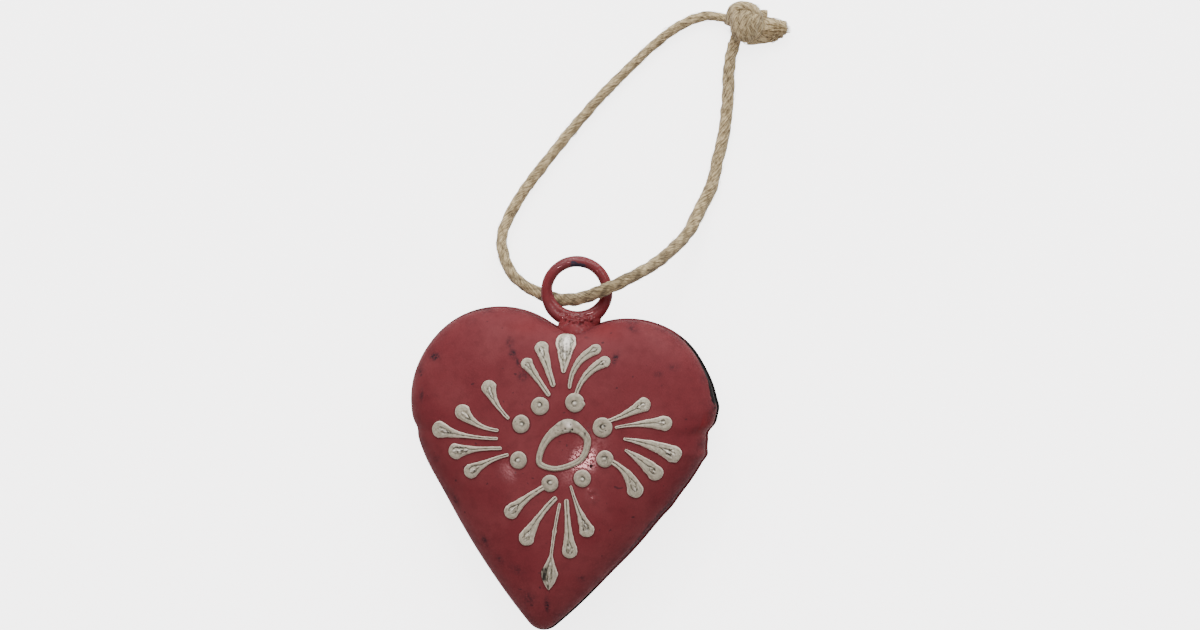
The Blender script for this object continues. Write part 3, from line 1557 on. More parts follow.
    def creases(
        self, drop: Drop, seed: int, travelled: Points, reach: Points, wide: Points, flow: Points
    ) -> tuple[Points, Points, Points, Points]:
        """Where a drop has cracked as it dried: one line up its tail that opens round a hollow.

        Args:
            drop: The drop.
            seed: Its number.
            travelled: Distance of each vertex from the end of the head.
            reach: Distance of each vertex from the middle line.
            wide: Half the width of the drop there.
            flow: Points along the middle line, for noise.

        Returns:
            The crack, the hollow inside it, the crest in the hollow and the wrinkled zone round
            them, each from 0 to 1.
        """
        head = drop.width / 2
        dice = np.random.default_rng(100 + seed)
        closed, fullest, merged = dice.uniform((0.45, 1.0, 2.1), (0.80, 1.4, 3.2)) * head
        most = dice.uniform(0.24, 0.40) * head
        if drop.pointed:
            closed, fullest, merged = 0.0016, 0.0040, 0.0085
        if drop.name == "paint_drop_top_3":
            closed, fullest, merged, most = 0.0006, 0.0018, 0.0085, 0.0015
        first = np.sqrt(np.maximum(0, 1 - ((travelled - fullest) / (fullest - closed)) ** 2))
        second = 0.5 + 0.5 * np.cos(math.pi * clamp((travelled - fullest) / (merged - fullest)))
        opening = most * np.where(travelled < fullest, first, second)
        opening *= 1 + 0.40 * grain(flow + reach[:, None] * (0, 0.5, 0), 0.0007, seed)
        wander = 0.10 * wide * grain(flow, 0.0015, seed)
        off = np.abs(reach - wander)
        inside = 1 / (1 + np.exp(-(travelled - closed) / 0.00012))
        fine = 0.000095 + 0.00004 * clamp(wide / head)
        crack = bell(off - opening, fine) * inside
        each_side = flow + np.sign(reach - wander)[:, None] * (0, 0.003, 0)
        crack *= np.clip(0.72 + 0.75 * grain(each_side, 0.0006, 60 + seed), 0.15, 1)
        hollow = clamp((opening - off) / 0.00012) * inside
        ridge = reach - wander - 0.35 * opening * grain(flow, 0.0009, 40 + seed)
        split = bell(ridge, np.maximum(opening * 0.30, 0.00005)) * hollow
        zone = clamp((1.5 * opening + 0.00022 - off) / 0.00030) * inside
        return crack, hollow, split, zone

    def drop(self, drop: Drop, seed: int, finishes: Finishes) -> Item:
        """A drop with a round head that runs out into a creased tail.

        Args:
            drop: The drop.
            seed: Its number, which picks its noise.
            finishes: The materials.

        Returns:
            The finished piece.
        """
        head, tip = self.form.on_plan(*drop.head), self.form.on_plan(*drop.tip)
        if drop.joined:
            degrees, share, radius = DOTS[drop.joined]
            middle = self.form.on_plan(degrees, share)
            tip = middle + (tip - middle) / max(np.linalg.norm(tip - middle), 1e-6) * radius * 0.55
        along = (tip - head) / np.linalg.norm(tip - head)
        start = head - along * (drop.width / 2 + drop.pointed)
        span = tip - start
        control = (start + tip) / 2 + np.array([-span[1], span[0]]) * 2 * drop.bend
        length = float(np.linalg.norm(span))
        top, under, steps = 38, 5, 130
        item, turn, run = rolled_grid(drop.name + "_dab", top + under, steps)
        share = 0.5 - 0.5 * np.cos(run * math.pi)
        share = 0.35 * run + 0.65 * share
        side = np.round(turn * (top + under)).astype(int)
        across = np.where(side <= top, 1 - 2 * side / top, -1 + 2 * (side - top) / under)
        across = np.where(side <= top, np.sin(across * math.pi / 2), across)
        line, ahead = bent_line(share, start, control, tip)
        travelled = share * length
        wide = self.half_width(drop, travelled, length)
        flow = np.column_stack([travelled, 0 * share, 0 * share])
        beside = np.column_stack([travelled, 0.002 * np.sign(across), 0 * share])
        ragged = 1 + 0.08 * grain(beside, 0.0011, seed) + 0.04 * grain(beside, 0.0005, 170 + seed)
        reach = across * wide * ragged
        x, y = line[:, 0] - ahead[:, 1] * reach, line[:, 1] + ahead[:, 0] * reach
        fat = clamp(wide / (drop.width / 2))
        stroke = np.column_stack([travelled, reach * 1.8, 0 * reach])
        ends = clamp(travelled / 0.0008) * clamp((length - travelled) / 0.0004)
        crack, hollow, split, zone = self.creases(drop, seed, travelled, reach, wide, flow)
        wrinkle = grain(stroke, 0.00036, 90 + seed)
        pillow = (1 - np.abs(across) ** 3.6) ** 0.5
        lip = bell(np.abs(across) - 0.80, 0.13)
        swell = 0.50 + 0.42 * fat + 0.10 * lip
        lumps = (0.04 + 0.10 * zone) * wrinkle * ends
        sunk_in = 0.34 * crack * ends
        rise = swell - sunk_in - 0.16 * hollow * (1 - split) + 0.22 * split * ends + lumps
        rise = pillow * rise
        rise = np.where(side > top, -self.sunk / self.height, rise) * self.height
        rise = np.where((side == 0) | (side == top), -self.sunk, rise)
        rim = clamp((np.abs(across) - 0.80) / 0.12) * (0.55 + 0.45 * clamp(1.2 - fat))
        rim = np.maximum(rim, 0.75 * clamp(1 - fat * 1.8) * (np.abs(across) > 0.35))
        crease = np.maximum(crack * ends, clamp(-wrinkle - 0.18) * zone * 2.0 * ends)
        inner = bell(np.abs(across) - 0.70, 0.055) * clamp(fat * 2 - 0.5)
        crease = np.maximum(crease, 0.42 * inner * clamp(0.5 + grain(stroke, 0.0009, 150 + seed)))
        glint = clamp(1.6 * grain(stroke, 0.0005, 130 + seed) + 0.35)
        crest = 1.4 * drop.bright * split * ends * glint
        crest = np.maximum(crest, drop.bright * clamp(wrinkle - 0.22) * (0.40 + 1.1 * zone))
        crest *= 1 - crack
        if drop.pointed:
            chip = bell(travelled - 0.0036, 0.0017, 4) * clamp((across - 0.22) * 4.0)
            crease = np.maximum(crease, 1.6 * chip * (0.75 + 0.5 * grain(stroke, 0.0006, 7)))
            crest *= 1 - clamp(chip)
            point = clamp((0.0016 - travelled) / 0.0006) * (across > -0.1) * (across < 0.6)
            crease = np.maximum(crease, 0.9 * point)
        if drop.name == "paint_drop_top_3":
            patch = blot(across - 0.10, travelled - 0.0017, 0.36, 0.0013)
            crest = np.maximum(crest, 1.6 * patch * (1 - 0.5 * crack))
            mottled = clamp(0.15 + 1.1 * grain(stroke, 0.0007, 17)) * clamp(hollow * 1.2)
            crease = np.maximum(crease, mottled * (1 - patch) * 0.9)
            rim = np.maximum(rim, 0.9 * (np.abs(across) > 0.74))
        crease = np.maximum(crease, 0.22 * drop.grey * (np.abs(across) < 0.7) * fat)
        mark(item, "paint", rim, crease, crest * (1 - 0.7 * drop.grey))
        ordered = np.linspace(0, 1, 70)
        edge = self.half_width(drop, ordered * length, length)
        middle_line, ahead = bent_line(ordered, start, control, tip)
        aside = np.column_stack([-ahead[:, 1], ahead[:, 0]]) * edge[:, None]
        left, right = middle_line + aside, middle_line - aside
        self.outlines.append(np.concatenate([left, right[::-1]]))
        return self.lay(item, drop.name, finishes, x, y, rise)

    def loop(self, finishes: Finishes) -> Item:
        """The closed stroke in the middle, thick and porous at its top.

        Args:
            finishes: The materials.

        Returns:
            The finished piece.
        """
        steps, top, under = 220, 24, 6
        route = np.array([[*self.form.on_plan(b, s), w] for b, s, w in LOOP_LINE])
        line = smooth_curve(route, steps, closed=True)
        ahead = np.roll(line, -1, axis=0)[:, :2] - np.roll(line, 1, axis=0)[:, :2]
        ahead = unit_rows(ahead)
        item, turn, run = rolled_grid("paint_loop_dab", top + under, steps)
        step = np.round(run * steps).astype(int) % steps
        side = np.round(turn * (top + under)).astype(int)
        over = np.sin((1 - 2 * side / top) * math.pi / 2)
        across = np.where(side <= top, over, -1 + 2 * (side - top) / under)
        wide = self.loop_width * line[step, 2] / 2
        places = np.column_stack([line[step, :2], np.zeros(len(step))])
        wide = wide * (1 + 0.05 * grain(places, 0.0012, 5))
        reach = across * wide
        x = line[step, 0] - ahead[step, 1] * reach
        y = line[step, 1] + ahead[step, 0] * reach
        places = on_floor(x, y)
        thick = clamp((line[step, 2] - 1.3) / 0.9)
        pillow = (1 - np.abs(across) ** 3.4) ** 0.5
        groove = bell(across, 0.22) * (1 - thick)
        broken = clamp(0.4 + grain(places, 0.0011, 71))
        pores = clamp(grain(places, 0.00055, 72) - 0.30) * thick
        swell = 0.78 + 0.25 * thick - 0.16 * groove - 0.5 * pores
        rise = self.height * pillow * (swell + 0.05 * grain(places, 0.0006, 73))
        rise = np.where((side >= top) | (side == 0), -self.sunk, rise)
        rim = clamp((np.abs(across) - 0.84) / 0.12) * 0.55
        scuff = blot(x - 0.0067, y - 0.0032, 0.0006, 0.0011)
        scuff *= clamp(grain(places, 0.0005, 74) + 0.85)
        glint = blot(x - 0.0028, y - 0.0047, 0.0006, 0.0006)
        dull = 0.14 + 0.10 * clamp(grain(places, 0.0016, 76))
        crease = np.maximum.reduce([0.60 * groove * broken, pores * 2.4, scuff, dull])
        glint += 0.3 * thick * clamp(grain(places, 0.0007, 75))
        mark(item, "paint", rim, crease, glint)
        normal = np.column_stack([-ahead[:, 1], ahead[:, 0]])
        half = self.loop_width * line[:, 2:3] / 2
        self.outlines.append(line[:, :2] + normal * half)
        self.outlines.append((line[:, :2] - normal * half)[::-1])
        return self.lay(item, "paint_loop", finishes, x, y, rise)

    def pools(self, finishes: Finishes) -> Item:
        """Thin dark varnish that has gathered round every dab.

        Args:
            finishes: The materials.

        Returns:
            The finished piece.
        """
        ribbons, last = [], len(self.pool_rows) - 1
        for number, outline in enumerate(self.outlines, 1):
            gaps = np.linalg.norm(outline - np.roll(outline, -1, axis=0), axis=1)
            outline = outline[gaps > 1e-5]
            following = np.roll(outline, -1, axis=0)
            area = np.sum(outline[:, 0] * following[:, 1] - outline[:, 1] * following[:, 0])
            run_on = following - np.roll(outline, 1, axis=0)
            outward = np.column_stack([run_on[:, 1], -run_on[:, 0]]) * math.copysign(1, area)
            outward = unit_rows(outward)
            if number == len(self.outlines):
                # The last outline is the loop's inner edge, whose outside is the middle
                outward = -outward
            item, turn, run = rolled_grid("pool", len(outline), last)
            index = np.round(turn * len(outline)).astype(int) % len(outline)
            row = np.round(run * last).astype(int)
            offset, lift, strength = np.array(self.pool_rows)[row].T
            flat = outline[index] + outward[index] * offset[:, None]
            wobble = grain(np.column_stack([flat, np.zeros(len(flat))]), 0.0012, 50)
            mark(item, "pool", strength * (0.82 + 0.3 * wobble))
            places = np.column_stack([flat, self.form.front(flat[:, 0], flat[:, 1]) + lift])
            ribbons.append(close_up(item, places))
        pools = join("pooled_varnish", ribbons)
        pools.data.materials.append(finishes.pooled)
        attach(pools, "root")
        return pools


# ---- Twine and knot


# Three touching plies in a strand: their radius and how far out they lie, as shares
PLY_RADIUS, PLY_OFFSET = 0.62, 0.38


@dataclass
class Strand:
    """A twisted strand of three plies that follows a path."""

    path: Points
    radii: Points
    sides: int = 32
    twist: float = 0.0120
    lobing: float = 0.38
    flatness: float = 0.0
    seed: int = 0

    def section(self, angle: Points) -> Points:
        """Distance out to the surface of three touching plies, as a share of the radius.

        Args:
            angle: Angles round the strand, in radians.

        Returns:
            The share at each angle.
        """
        found = np.zeros_like(angle)
        for ply in range(3):
            off = wrapped(angle - ply * math.tau / 3)
            inside = PLY_RADIUS**2 - (PLY_OFFSET * np.sin(off)) ** 2
            reach = PLY_OFFSET * np.cos(off) + np.sqrt(np.maximum(inside, 0))
            found = np.maximum(found, reach)
        return found

    def build(self, name: str, jute: Material) -> Item:
        """Sweep the strand along its path.

        Args:
            name: Name of the piece.
            jute: Its material.

        Returns:
            The strand, with a UV map in metres and its grooves marked.
        """
        steps = len(self.path) - 1
        item, turn, run = rolled_grid(name, self.sides, steps)
        step = np.round(run * steps).astype(int)
        ahead = np.gradient(self.path, axis=0)
        ahead = unit_rows(ahead)
        side = np.cross(ahead, (0.0, 0.0, 1.0))
        side /= np.maximum(np.linalg.norm(side, axis=1), 1e-9)[:, None]
        up = np.cross(side, ahead)
        strides = np.linalg.norm(np.diff(self.path, axis=0), axis=1)
        lengths = np.concatenate([[0], np.cumsum(strides)])
        angle = turn * math.tau
        spin = lengths[step] / self.twist * math.tau
        drift = np.column_stack([lengths[step], 0 * angle, 0 * angle])
        spin += 0.7 * grain(drift, 0.009, self.seed + 2)
        looser = 1 + 0.5 * grain(drift, 0.006, self.seed + 4)
        share = 1 - (1 - self.section(angle - spin)) * self.lobing * looser
        ends = np.minimum(step, steps - step)
        shrink = np.array([0.0, 0.72, 0.93])[np.minimum(ends, 2)]
        shrink = np.where(ends > 2, 1.0, shrink)
        reach = self.radii[step] * share * shrink
        cosine, sine = np.cos(angle), np.sin(angle) * (1 - self.flatness)
        offset = side[step] * cosine[:, None] + up[step] * sine[:, None]
        places = self.path[step] + offset * reach[:, None]
        fibre = np.column_stack([lengths[step] * 0.14, cosine * 0.0015, np.sin(angle) * 0.0015])
        rough = 0.055 * grain(fibre, 0.00035, self.seed) + 0.07 * grain(places, 0.0014, self.seed + 1)
        places += offset * (reach * rough)[:, None]
        deep = clamp((0.96 - share) / 0.12) * 0.75
        soiled = 0.46 * bell(places[:, 1] - 0.034, 0.010)
        right = clamp((places[:, 0] - 0.004) / 0.004)
        soiled += 0.34 * right * bell(places[:, 1] - 0.045, 0.009)
        deep += soiled * (0.8 + 0.8 * grain(places, 0.0012, 6))
        mark(item, "hollow", deep + 0.35 * clamp(-rough * 9))
        close_up(item, places)
        scale_uv(item, float(np.mean(self.radii)) * math.tau, float(lengths[-1]))
        item.data.materials.append(jute)
        return item


def fibre_bundle(
    name: str, starts: Points, ends: Points, bows: Points, radius: float, jute: Material
) -> Item:
    """Make many thin fibres as one mesh.

    Args:
        name: Name of the piece.
        starts: First point of each fibre.
        ends: Last point of each fibre.
        bows: How far the middle of each stands off the straight line.
        radius: Half the thickness of a fibre.
        jute: The material.

    Returns:
        The fibres.
    """
    steps, sides, count = 5, 3, len(starts)
    share = np.linspace(0, 1, steps)[None, :, None]
    line = starts[:, None] * (1 - share) + ends[:, None] * share
    line += bows[:, None] * 4 * share * (1 - share)
    ahead = np.gradient(line, axis=1)
    ahead /= np.maximum(np.linalg.norm(ahead, axis=2), 1e-9)[..., None]
    side = np.cross(ahead, (0.31, 0.17, 0.94))
    side /= np.maximum(np.linalg.norm(side, axis=2), 1e-9)[..., None]
    up = np.cross(ahead, side)
    rings = []
    for k in range(sides):
        a = k / sides * math.tau
        thick = radius * np.array([0.9, 1.0, 0.9, 0.7, 0.25])[None, :, None]
        rings.append(line + (side * math.cos(a) + up * math.sin(a)) * thick)
    vertices = np.stack(rings, axis=2).reshape(-1, 3)
    base = np.arange(count)[:, None, None] * steps * sides
    row = np.arange(steps - 1)[None, :, None] * sides
    k = np.arange(sides)[None, None, :]
    k2 = (k + 1) % sides
    here = base + row
    corners = (here + k, here + k2, here + sides + k2, here + sides + k)
    quads = np.stack(np.broadcast_arrays(*corners), axis=-1)
    each = steps * sides
    caps = [list(range(i * each, i * each + sides))[::-1] for i in range(count)]
    caps += [list(range((i + 1) * each - sides, (i + 1) * each)) for i in range(count)]
    mesh = bpy.data.meshes.new(name)
    mesh.from_pydata(vertices.tolist(), [], quads.reshape(-1, 4).tolist() + caps)
    mesh.update()
    layer = mesh.uv_layers.new(name="UVMap")
    owners = np.empty(len(mesh.loops), np.int32)
    mesh.loops.foreach_get("vertex_index", owners)
    fibre, ring = owners // each, owners % each // sides
    spread = np.column_stack([fibre * 0.0137, ring * 0.0004])
    layer.data.foreach_set("uv", spread.astype(np.float32).ravel())
    bundle = bpy.data.objects.new(name, mesh)
    bpy.context.scene.collection.objects.link(bundle)
    mark(bundle, "hollow", np.zeros(len(vertices)))
    mesh.materials.append(jute)
    return bundle


@dataclass
class Twine:
    """The jute loop through the ring, its knot and its loose fibres."""

    diameter: float = 0.0029
    length: float = 0.187
    tail_fibres: int = 420
    tail_fibre_radius: float = 0.00009
    twine_fibres: int = 1500
    knot_fibres: int = 320
    fuzz_radius: float = 0.000036
    # Middle of the knot's core and its half sizes
    core: tuple = ((0.0331, 0.1003, 0.0033), (0.0037, 0.0041, 0.0031))
    # Numbers of the strands that thin out into the tails
    thinning: tuple = (7, 8, 9, 11)
    # Way of the twine from the knot, under the left of the ring, up through it and back
    route: tuple = (
        (0.0291, 0.1015, 0.0015),
        (0.0223, 0.1013, 0.0015),
        (0.0135, 0.0952, 0.0015),
        (-0.0004, 0.0790, 0.0015),
        (-0.0118, 0.0622, 0.0015),
        (-0.0162, 0.0546, 0.0016),
        (-0.0187, 0.0475, 0.0024),
        (-0.0182, 0.0428, 0.0038),
        (-0.0158, 0.0383, 0.0058),
        (-0.0119, 0.0352, 0.0076),
        (-0.0064, 0.0332, 0.0086),
        (-0.0024, 0.0328, 0.0101),
        (0.0022, 0.0337, 0.0127),
        (0.0076, 0.0362, 0.0151),
        (0.0137, 0.0399, 0.0136),
        (0.0189, 0.0440, 0.0099),
        (0.0241, 0.0504, 0.0052),
        (0.0266, 0.0566, 0.0026),
        (0.0286, 0.0620, 0.0016),
        (0.0295, 0.0679, 0.0015),
        (0.0304, 0.0750, 0.0015),
        (0.0306, 0.0832, 0.0015),
        (0.0302, 0.0904, 0.0015),
        (0.0308, 0.0962, 0.0015),
    )
    # Thickness along the twine: share of the way and share of the diameter
    swells: tuple = (
        (0.0, 0.74), (0.05, 0.80), (0.12, 0.78), (0.25, 0.86), (0.38, 0.92), (0.46, 0.90),
        (0.53, 1.0), (0.62, 1.02), (0.70, 1.0), (0.80, 1.06), (0.90, 1.08), (1.0, 0.98),
    )
    # Strands of the knot: radius, flatness, and points across, along and up
    strands: tuple = (
        (0.00155, 0.1, (
            (0.0302, 0.1000, 0.0022), (0.0299, 0.1018, 0.0030), (0.0304, 0.1035, 0.0037),
            (0.0321, 0.1042, 0.0043), (0.0341, 0.1038, 0.0045), (0.0354, 0.1024, 0.0040),
            (0.0359, 0.1008, 0.0032),
        )),
        (0.00130, 0.1, (
            (0.0285, 0.1015, 0.0015), (0.0299, 0.1010, 0.0026), (0.0308, 0.1018, 0.0042),
            (0.0313, 0.1030, 0.0047),
        )),
        (0.00150, 0.2, (
            (0.0317, 0.1030, 0.0046), (0.0313, 0.1011, 0.0050), (0.0316, 0.0990, 0.0044),
            (0.0326, 0.0971, 0.0030),
        )),
        (0.00155, 0.2, (
            (0.0333, 0.1032, 0.0048), (0.0330, 0.1010, 0.0056), (0.0330, 0.0988, 0.0047),
            (0.0333, 0.0968, 0.0028),
        )),
        (0.00150, 0.2, (
            (0.0348, 0.1026, 0.0044), (0.0348, 0.1006, 0.0050), (0.0343, 0.0987, 0.0042),
            (0.0337, 0.0969, 0.0026),
        )),
        (0.00135, 0.1, (
            (0.0308, 0.0955, 0.0015), (0.0313, 0.0975, 0.0020), (0.0322, 0.0995, 0.0030),
        )),
        (0.00150, 0.2, (
            (0.0356, 0.1016, 0.0038), (0.0359, 0.1000, 0.0038), (0.0354, 0.0985, 0.0032),
            (0.0343, 0.0975, 0.0022),
        )),
        (0.00165, 0.3, (
            (0.0350, 0.1011, 0.0032), (0.0378, 0.1012, 0.0025), (0.0402, 0.1009, 0.0019),
            (0.0426, 0.1006, 0.0014),
        )),
        (0.00165, 0.3, (
            (0.0350, 0.0990, 0.0028), (0.0376, 0.0990, 0.0023), (0.0400, 0.0993, 0.0018),
            (0.0420, 0.0996, 0.0014),
        )),
        (0.00140, 0.3, (
            (0.0350, 0.1001, 0.0036), (0.0377, 0.1001, 0.0029), (0.0402, 0.1001, 0.0021),
            (0.0428, 0.1001, 0.0016),
        )),
        (0.00095, 0.0, (
            (0.0350, 0.1026, 0.0032), (0.0365, 0.1032, 0.0028), (0.0379, 0.1033, 0.0024),
        )),
        (0.00150, 0.3, (
            (0.0336, 0.0973, 0.0022), (0.0358, 0.0974, 0.0021), (0.0384, 0.0981, 0.0017),
            (0.0408, 0.0988, 0.0013),
        )),
    )

    def build(self, finishes: Finishes) -> list[Item]:
        """Args:
            finishes: The materials.

        Returns:
            The finished pieces.
        """
        path = even_curve(np.array(self.route), 1300)
        path[:, 2] = np.maximum(path[:, 2], self.diameter / 2)
        shares = np.linspace(0, 1, len(path))
        radii = np.interp(shares, *np.array(self.swells).T) * self.diameter / 2
        radii *= 1 + 0.05 * grain(path, 0.006, 3)
        radii = np.minimum(radii, path[:, 2] * 0.97)
        twine = Strand(path, radii, seed=1).build("jute_twine", finishes.jute)
        knot = self.knot(finishes)
        fuzz = self.fuzz(path, radii, finishes)
        for item, node in ((twine, "twine_loop"), (knot, "twine_knot"), (fuzz, None)):
            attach(item, "root")
            if node:
                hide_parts(node)
        measured = float(np.linalg.norm(np.diff(path, axis=0), axis=1).sum())
        LOG.info("twine runs %.4f m along its middle", measured)
        return [twine, knot, fuzz]

    def knot(self, finishes: Finishes) -> Item:
        """The overhand knot: a core, the strands over it and two frayed tails.

        Args:
            finishes: The materials.

        Returns:
            The finished piece.
        """
        deselect()
        bpy.ops.mesh.primitive_ico_sphere_add(
            subdivisions=5, radius=1.0, location=self.core[0], scale=self.core[1]
        )
        core = bpy.context.object
        bpy.ops.object.transform_apply(location=True, rotation=True, scale=True)
        places = coordinates(core)
        out = places - places.mean(axis=0)
        x, y, z = places.T
        run = np.column_stack([x + 0.25 * y, y * 0.15, z * 0.15])
        ridges = grain(run, 0.00038, 41)
        put_coordinates(core, places + out * (0.045 * ridges)[:, None])
        corners = np.empty(len(core.data.loops), np.int32)
        core.data.loops.foreach_get("vertex_index", corners)
        layer = core.data.uv_layers.active
        layer.data.foreach_set("uv", places[corners, :2].astype(np.float32).ravel())
        mark(core, "hollow", 0.15 + 0.5 * clamp(-ridges * 1.6))
        bpy.ops.object.shade_smooth()
        core.data.materials.append(finishes.jute)
        parts = [core]
        for index, (radius, flatness, points) in enumerate(self.strands):
            path = even_curve(np.array(points), 60)
            path[:, 2] = np.maximum(path[:, 2], radius * 1.02 + 0.0001)
            thinner = 0.12 * (index in self.thinning) * np.linspace(0, 1, 60)
            radii = np.full(60, radius) * (1 - thinner)
            strand = Strand(path, radii, 28, 0.020, 0.40, flatness, 10 + index)
            parts.append(strand.build(f"knot_strand_{index}", finishes.jute))
        parts.append(self.tails(finishes))
        return join("overhand_knot", parts)

    def tails(self, finishes: Finishes) -> Item:
        """Loose fibres that run out of the two tails.

        Args:
            finishes: The materials.

        Returns:
            The fibres.
        """
        dice = np.random.default_rng(11)
        count = self.tail_fibres
        across = dice.uniform(-1, 1, count)
        deep = dice.uniform(0.0, 1.0, count)
        arch = np.sqrt(1 - 0.85 * across**2)
        near, low = dice.uniform(0.0352, 0.0398, count), 0.0008 + deep * 0.0034 * arch
        starts = np.column_stack([near, 0.0997 + across * 0.0030, low])
        far = dice.uniform(0.0412, 0.0438, count) - 0.0012 * across**2 - 0.0007 * (across < -0.3)
        ends = np.column_stack([far, 0.1001 + across * 0.0018, 0.0004 + deep * 0.0024 * arch])
        sideways, upwards = dice.normal(0, 0.00012, count), dice.normal(0.0001, 0.00010, count)
        bows = np.column_stack([np.zeros(count), sideways, upwards])
        radius = self.tail_fibre_radius
        return fibre_bundle("tail_fibres", starts, ends, bows, radius, finishes.jute)

    def fuzz(self, path: Points, radii: Points, finishes: Finishes) -> Item:
        """Short fibres that stand off the twine and the knot.

        Args:
            path: Points along the middle of the twine.
            radii: Its radius at each.
            finishes: The materials.

        Returns:
            The fibres.
        """
        dice = np.random.default_rng(7)
        count = self.twine_fibres
        at = dice.integers(4, len(path) - 5, count)
        ahead = np.gradient(path, axis=0)[at]
        ahead = unit_rows(ahead)
        out = np.cross(ahead, dice.normal(size=(count, 3)))
        out = unit_rows(out)
        reach = radii[at][:, None]
        starts = path[at] + out * reach * 0.8
        length = dice.uniform(0.0006, 0.0022, count)[:, None]
        way = ahead * np.where(dice.random(count) < 0.5, 1, -1)[:, None]
        ends = starts + way * length + out * length * dice.uniform(0.0, 0.35, count)[:, None]
        bows = out * length * 0.10
        middle = np.array([0.0333, 0.1007, 0.0036])
        more = self.knot_fibres
        spin = dice.normal(size=(more, 3))
        spin = unit_rows(spin)
        on_knot = middle + spin * (0.0040, 0.0047, 0.0032)
        turn = np.cross(spin, dice.normal(size=(more, 3))) * 0.0011
        starts = np.concatenate([starts, on_knot])
        ends = np.concatenate([ends, on_knot + turn + spin * 0.0002])
        bows = np.concatenate([bows, spin * 0.0001])
        for points in (starts, ends):
            points[:, 2] = np.maximum(points[:, 2], 0.00012)
        return fibre_bundle("loose_fibres", starts, ends, bows, self.fuzz_radius, finishes.jute)


# ---- Studio


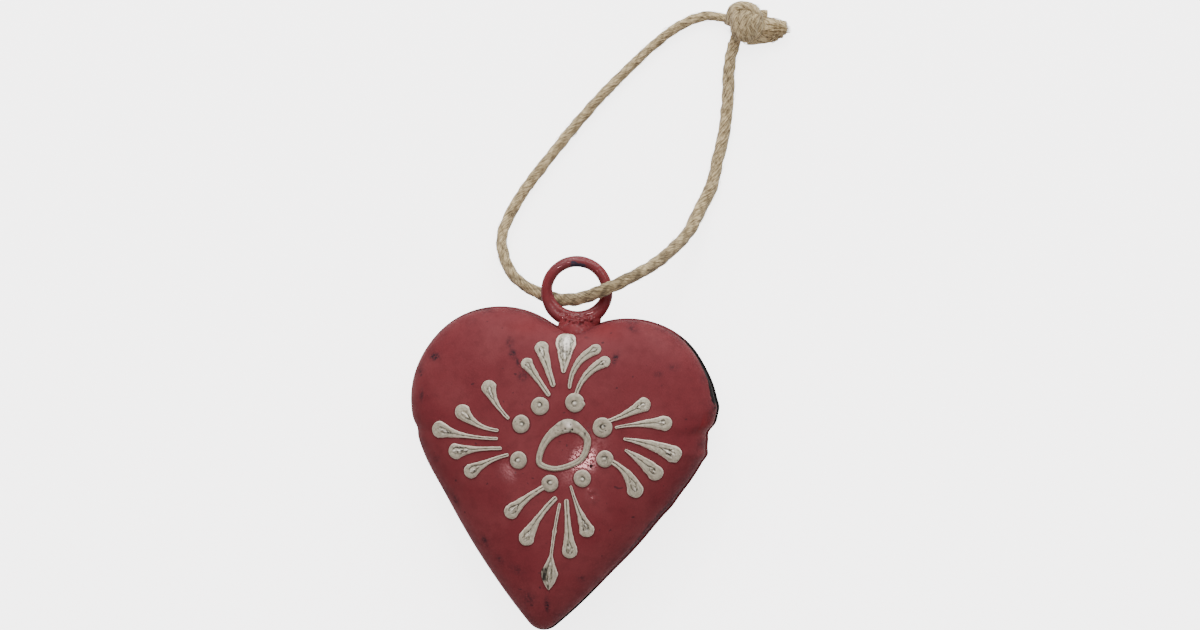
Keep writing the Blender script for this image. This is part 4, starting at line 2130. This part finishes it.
@dataclass
class Studio:
    """A pale floor, soft light from the top of the frame and the camera."""

    form: HeartForm
    glow: float = 3.6
    eye: tuple = (0.06529432, 0.0301, 0.759488)
    right: tuple = (0.99247659, 0.09428207, -0.0781096)
    up: tuple = (-0.09399143, 0.99554552, 0.00739729)
    lens: float = 97.826
    ambient: float = 0.42
    lamp_colour: Colour = (1.0, 0.76, 0.77)
    gloss_colour: Colour = (1.0, 0.50, 0.52)
    # Small lamps that show as highlights: name, spot across and along, power
    gloss_lamps: tuple = (
        ("gloss_lamp", 0.0072, -0.0030, 0.80),
        ("faint_gloss_lamp", -0.0099, -0.0071, 0.16),
    )

    def build(self) -> None:
        """Set the camera, the floor and the lights."""
        self.camera()
        deselect()
        bpy.ops.mesh.primitive_plane_add(size=4.0, location=(0, 0, 0))
        floor = bpy.context.object
        floor.name = "pale_floor"

        def paint(layout: Layout) -> tuple:
            """Lay out a near-white surface with the faintest grain.

            Args:
                layout: Layout of the material.

            Returns:
                Its sockets, in the order that shaded takes.
            """
            tone = layout.noise(object_place(layout), 30.0, 2.0)
            pale, shade = (0.93, 0.93, 0.925), (0.90, 0.90, 0.90)
            colour = layout.mix(layout.times(tone, 0.1), pale, shade)
            return colour, 0.9, tone

        pale = shaded("pale_floor", Surface(specular=0.1, bump=0.0), paint)
        nodes, links = pale.node_tree.nodes, pale.node_tree.links
        shader = next(node for node in nodes if node.type == "BSDF_PRINCIPLED")
        shader.inputs["Emission Color"].default_value = (1.0, 1.0, 1.0, 1.0)
        seen = nodes.new("ShaderNodeLightPath")
        glow = nodes.new("ShaderNodeMath")
        glow.operation = "MULTIPLY"
        glow.inputs[1].default_value = self.glow
        links.new(seen.outputs["Is Camera Ray"], glow.inputs[0])
        links.new(glow.outputs[0], shader.inputs["Emission Strength"])
        floor.data.materials.append(pale)
        world = bpy.data.worlds.new("soft_studio")
        bpy.context.scene.world = world
        world.use_nodes = True
        backdrop = world.node_tree.nodes["Background"]
        backdrop.inputs[0].default_value = (1.0, 1.0, 1.0, 1.0)
        backdrop.inputs[1].default_value = self.ambient
        self.light("top_softbox", (0.0, 1.45, 1.05), (0.0, 0.0, 0.01), 2.4, 70.0)
        lamp = self.light("top_lamp", (-0.30, 1.10, 1.00), (0.0, 0.03, 0.01), 0.06, 3.6)
        lamp.color = self.lamp_colour
        for name, x, y, power in self.gloss_lamps:
            self.light(name, *self.mirrored(x, y), 0.026, power).color = self.gloss_colour

    def mirrored(self, x: float, y: float) -> tuple[Vector, Vector]:
        """Place from which a lamp shows as a highlight on a spot of the front.

        Args:
            x: The spot, across.
            y: The spot, along.

        Returns:
            The lamp's place and the spot.
        """
        step = 0.0012
        height = self.form.front([x, x - step, x + step, x, x], [y, y, y, y - step, y + step])
        normal = Vector((height[1] - height[2], height[3] - height[4], 2 * step)).normalized()
        spot = Vector((x, y, float(height[0])))
        seen = (Vector(self.eye) - spot).normalized()
        return spot + (2 * seen.dot(normal) * normal - seen) * 0.7, spot

    def camera(self) -> None:
        """Place the camera as the photograph was taken."""
        data = bpy.data.cameras.new("photo_camera")
        data.lens, data.sensor_width = self.lens, 36.0
        data.clip_start, data.clip_end = 0.01, 20.0
        eye = bpy.data.objects.new("photo_camera", data)
        bpy.context.scene.collection.objects.link(eye)
        right, up = Vector(self.right), Vector(self.up)
        turn = Matrix((right, up, right.cross(up))).transposed().to_4x4()
        eye.matrix_world = Matrix.Translation(Vector(self.eye)) @ turn
        bpy.context.scene.camera = eye

    def light(
        self, name: str, place: tuple, target: tuple, size: float, power: float
    ) -> bpy.types.AreaLight:
        """Add a square soft light that faces a point.

        Args:
            name: Name of the light.
            place: Where it stands.
            target: Point that it faces.
            size: Length of its side.
            power: Power in watts.

        Returns:
            Its settings.
        """
        data = bpy.data.lights.new(name, "AREA")
        data.size, data.energy = size, power
        lamp = bpy.data.objects.new(name, data)
        bpy.context.scene.collection.objects.link(lamp)
        aim = Vector(target) - Vector(place)
        turn = aim.to_track_quat("-Z", "Y").to_matrix().to_4x4()
        lamp.matrix_world = Matrix.Translation(Vector(place)) @ turn
        return data


def main() -> None:
    """Build the ornament piece by piece."""
    logging.basicConfig(level=logging.INFO, format="%(name)s: %(message)s")
    form = HeartForm()
    Studio(form).build()
    finishes = Finishes()
    pieces = Twine().build(finishes)
    pieces += [PressedHalf(form, Half.FRONT).build(finishes)]
    pieces += [PressedHalf(form, Half.BACK, sides=360, rings=56).build(finishes)]
    pieces += [HangingRing(form).build(finishes)]
    pieces += PaintWork(form).build(finishes)
    for piece in pieces:
        LOG.info("%s has %d faces", piece.name, len(piece.data.polygons))


if __name__ == "__main__":
    main()
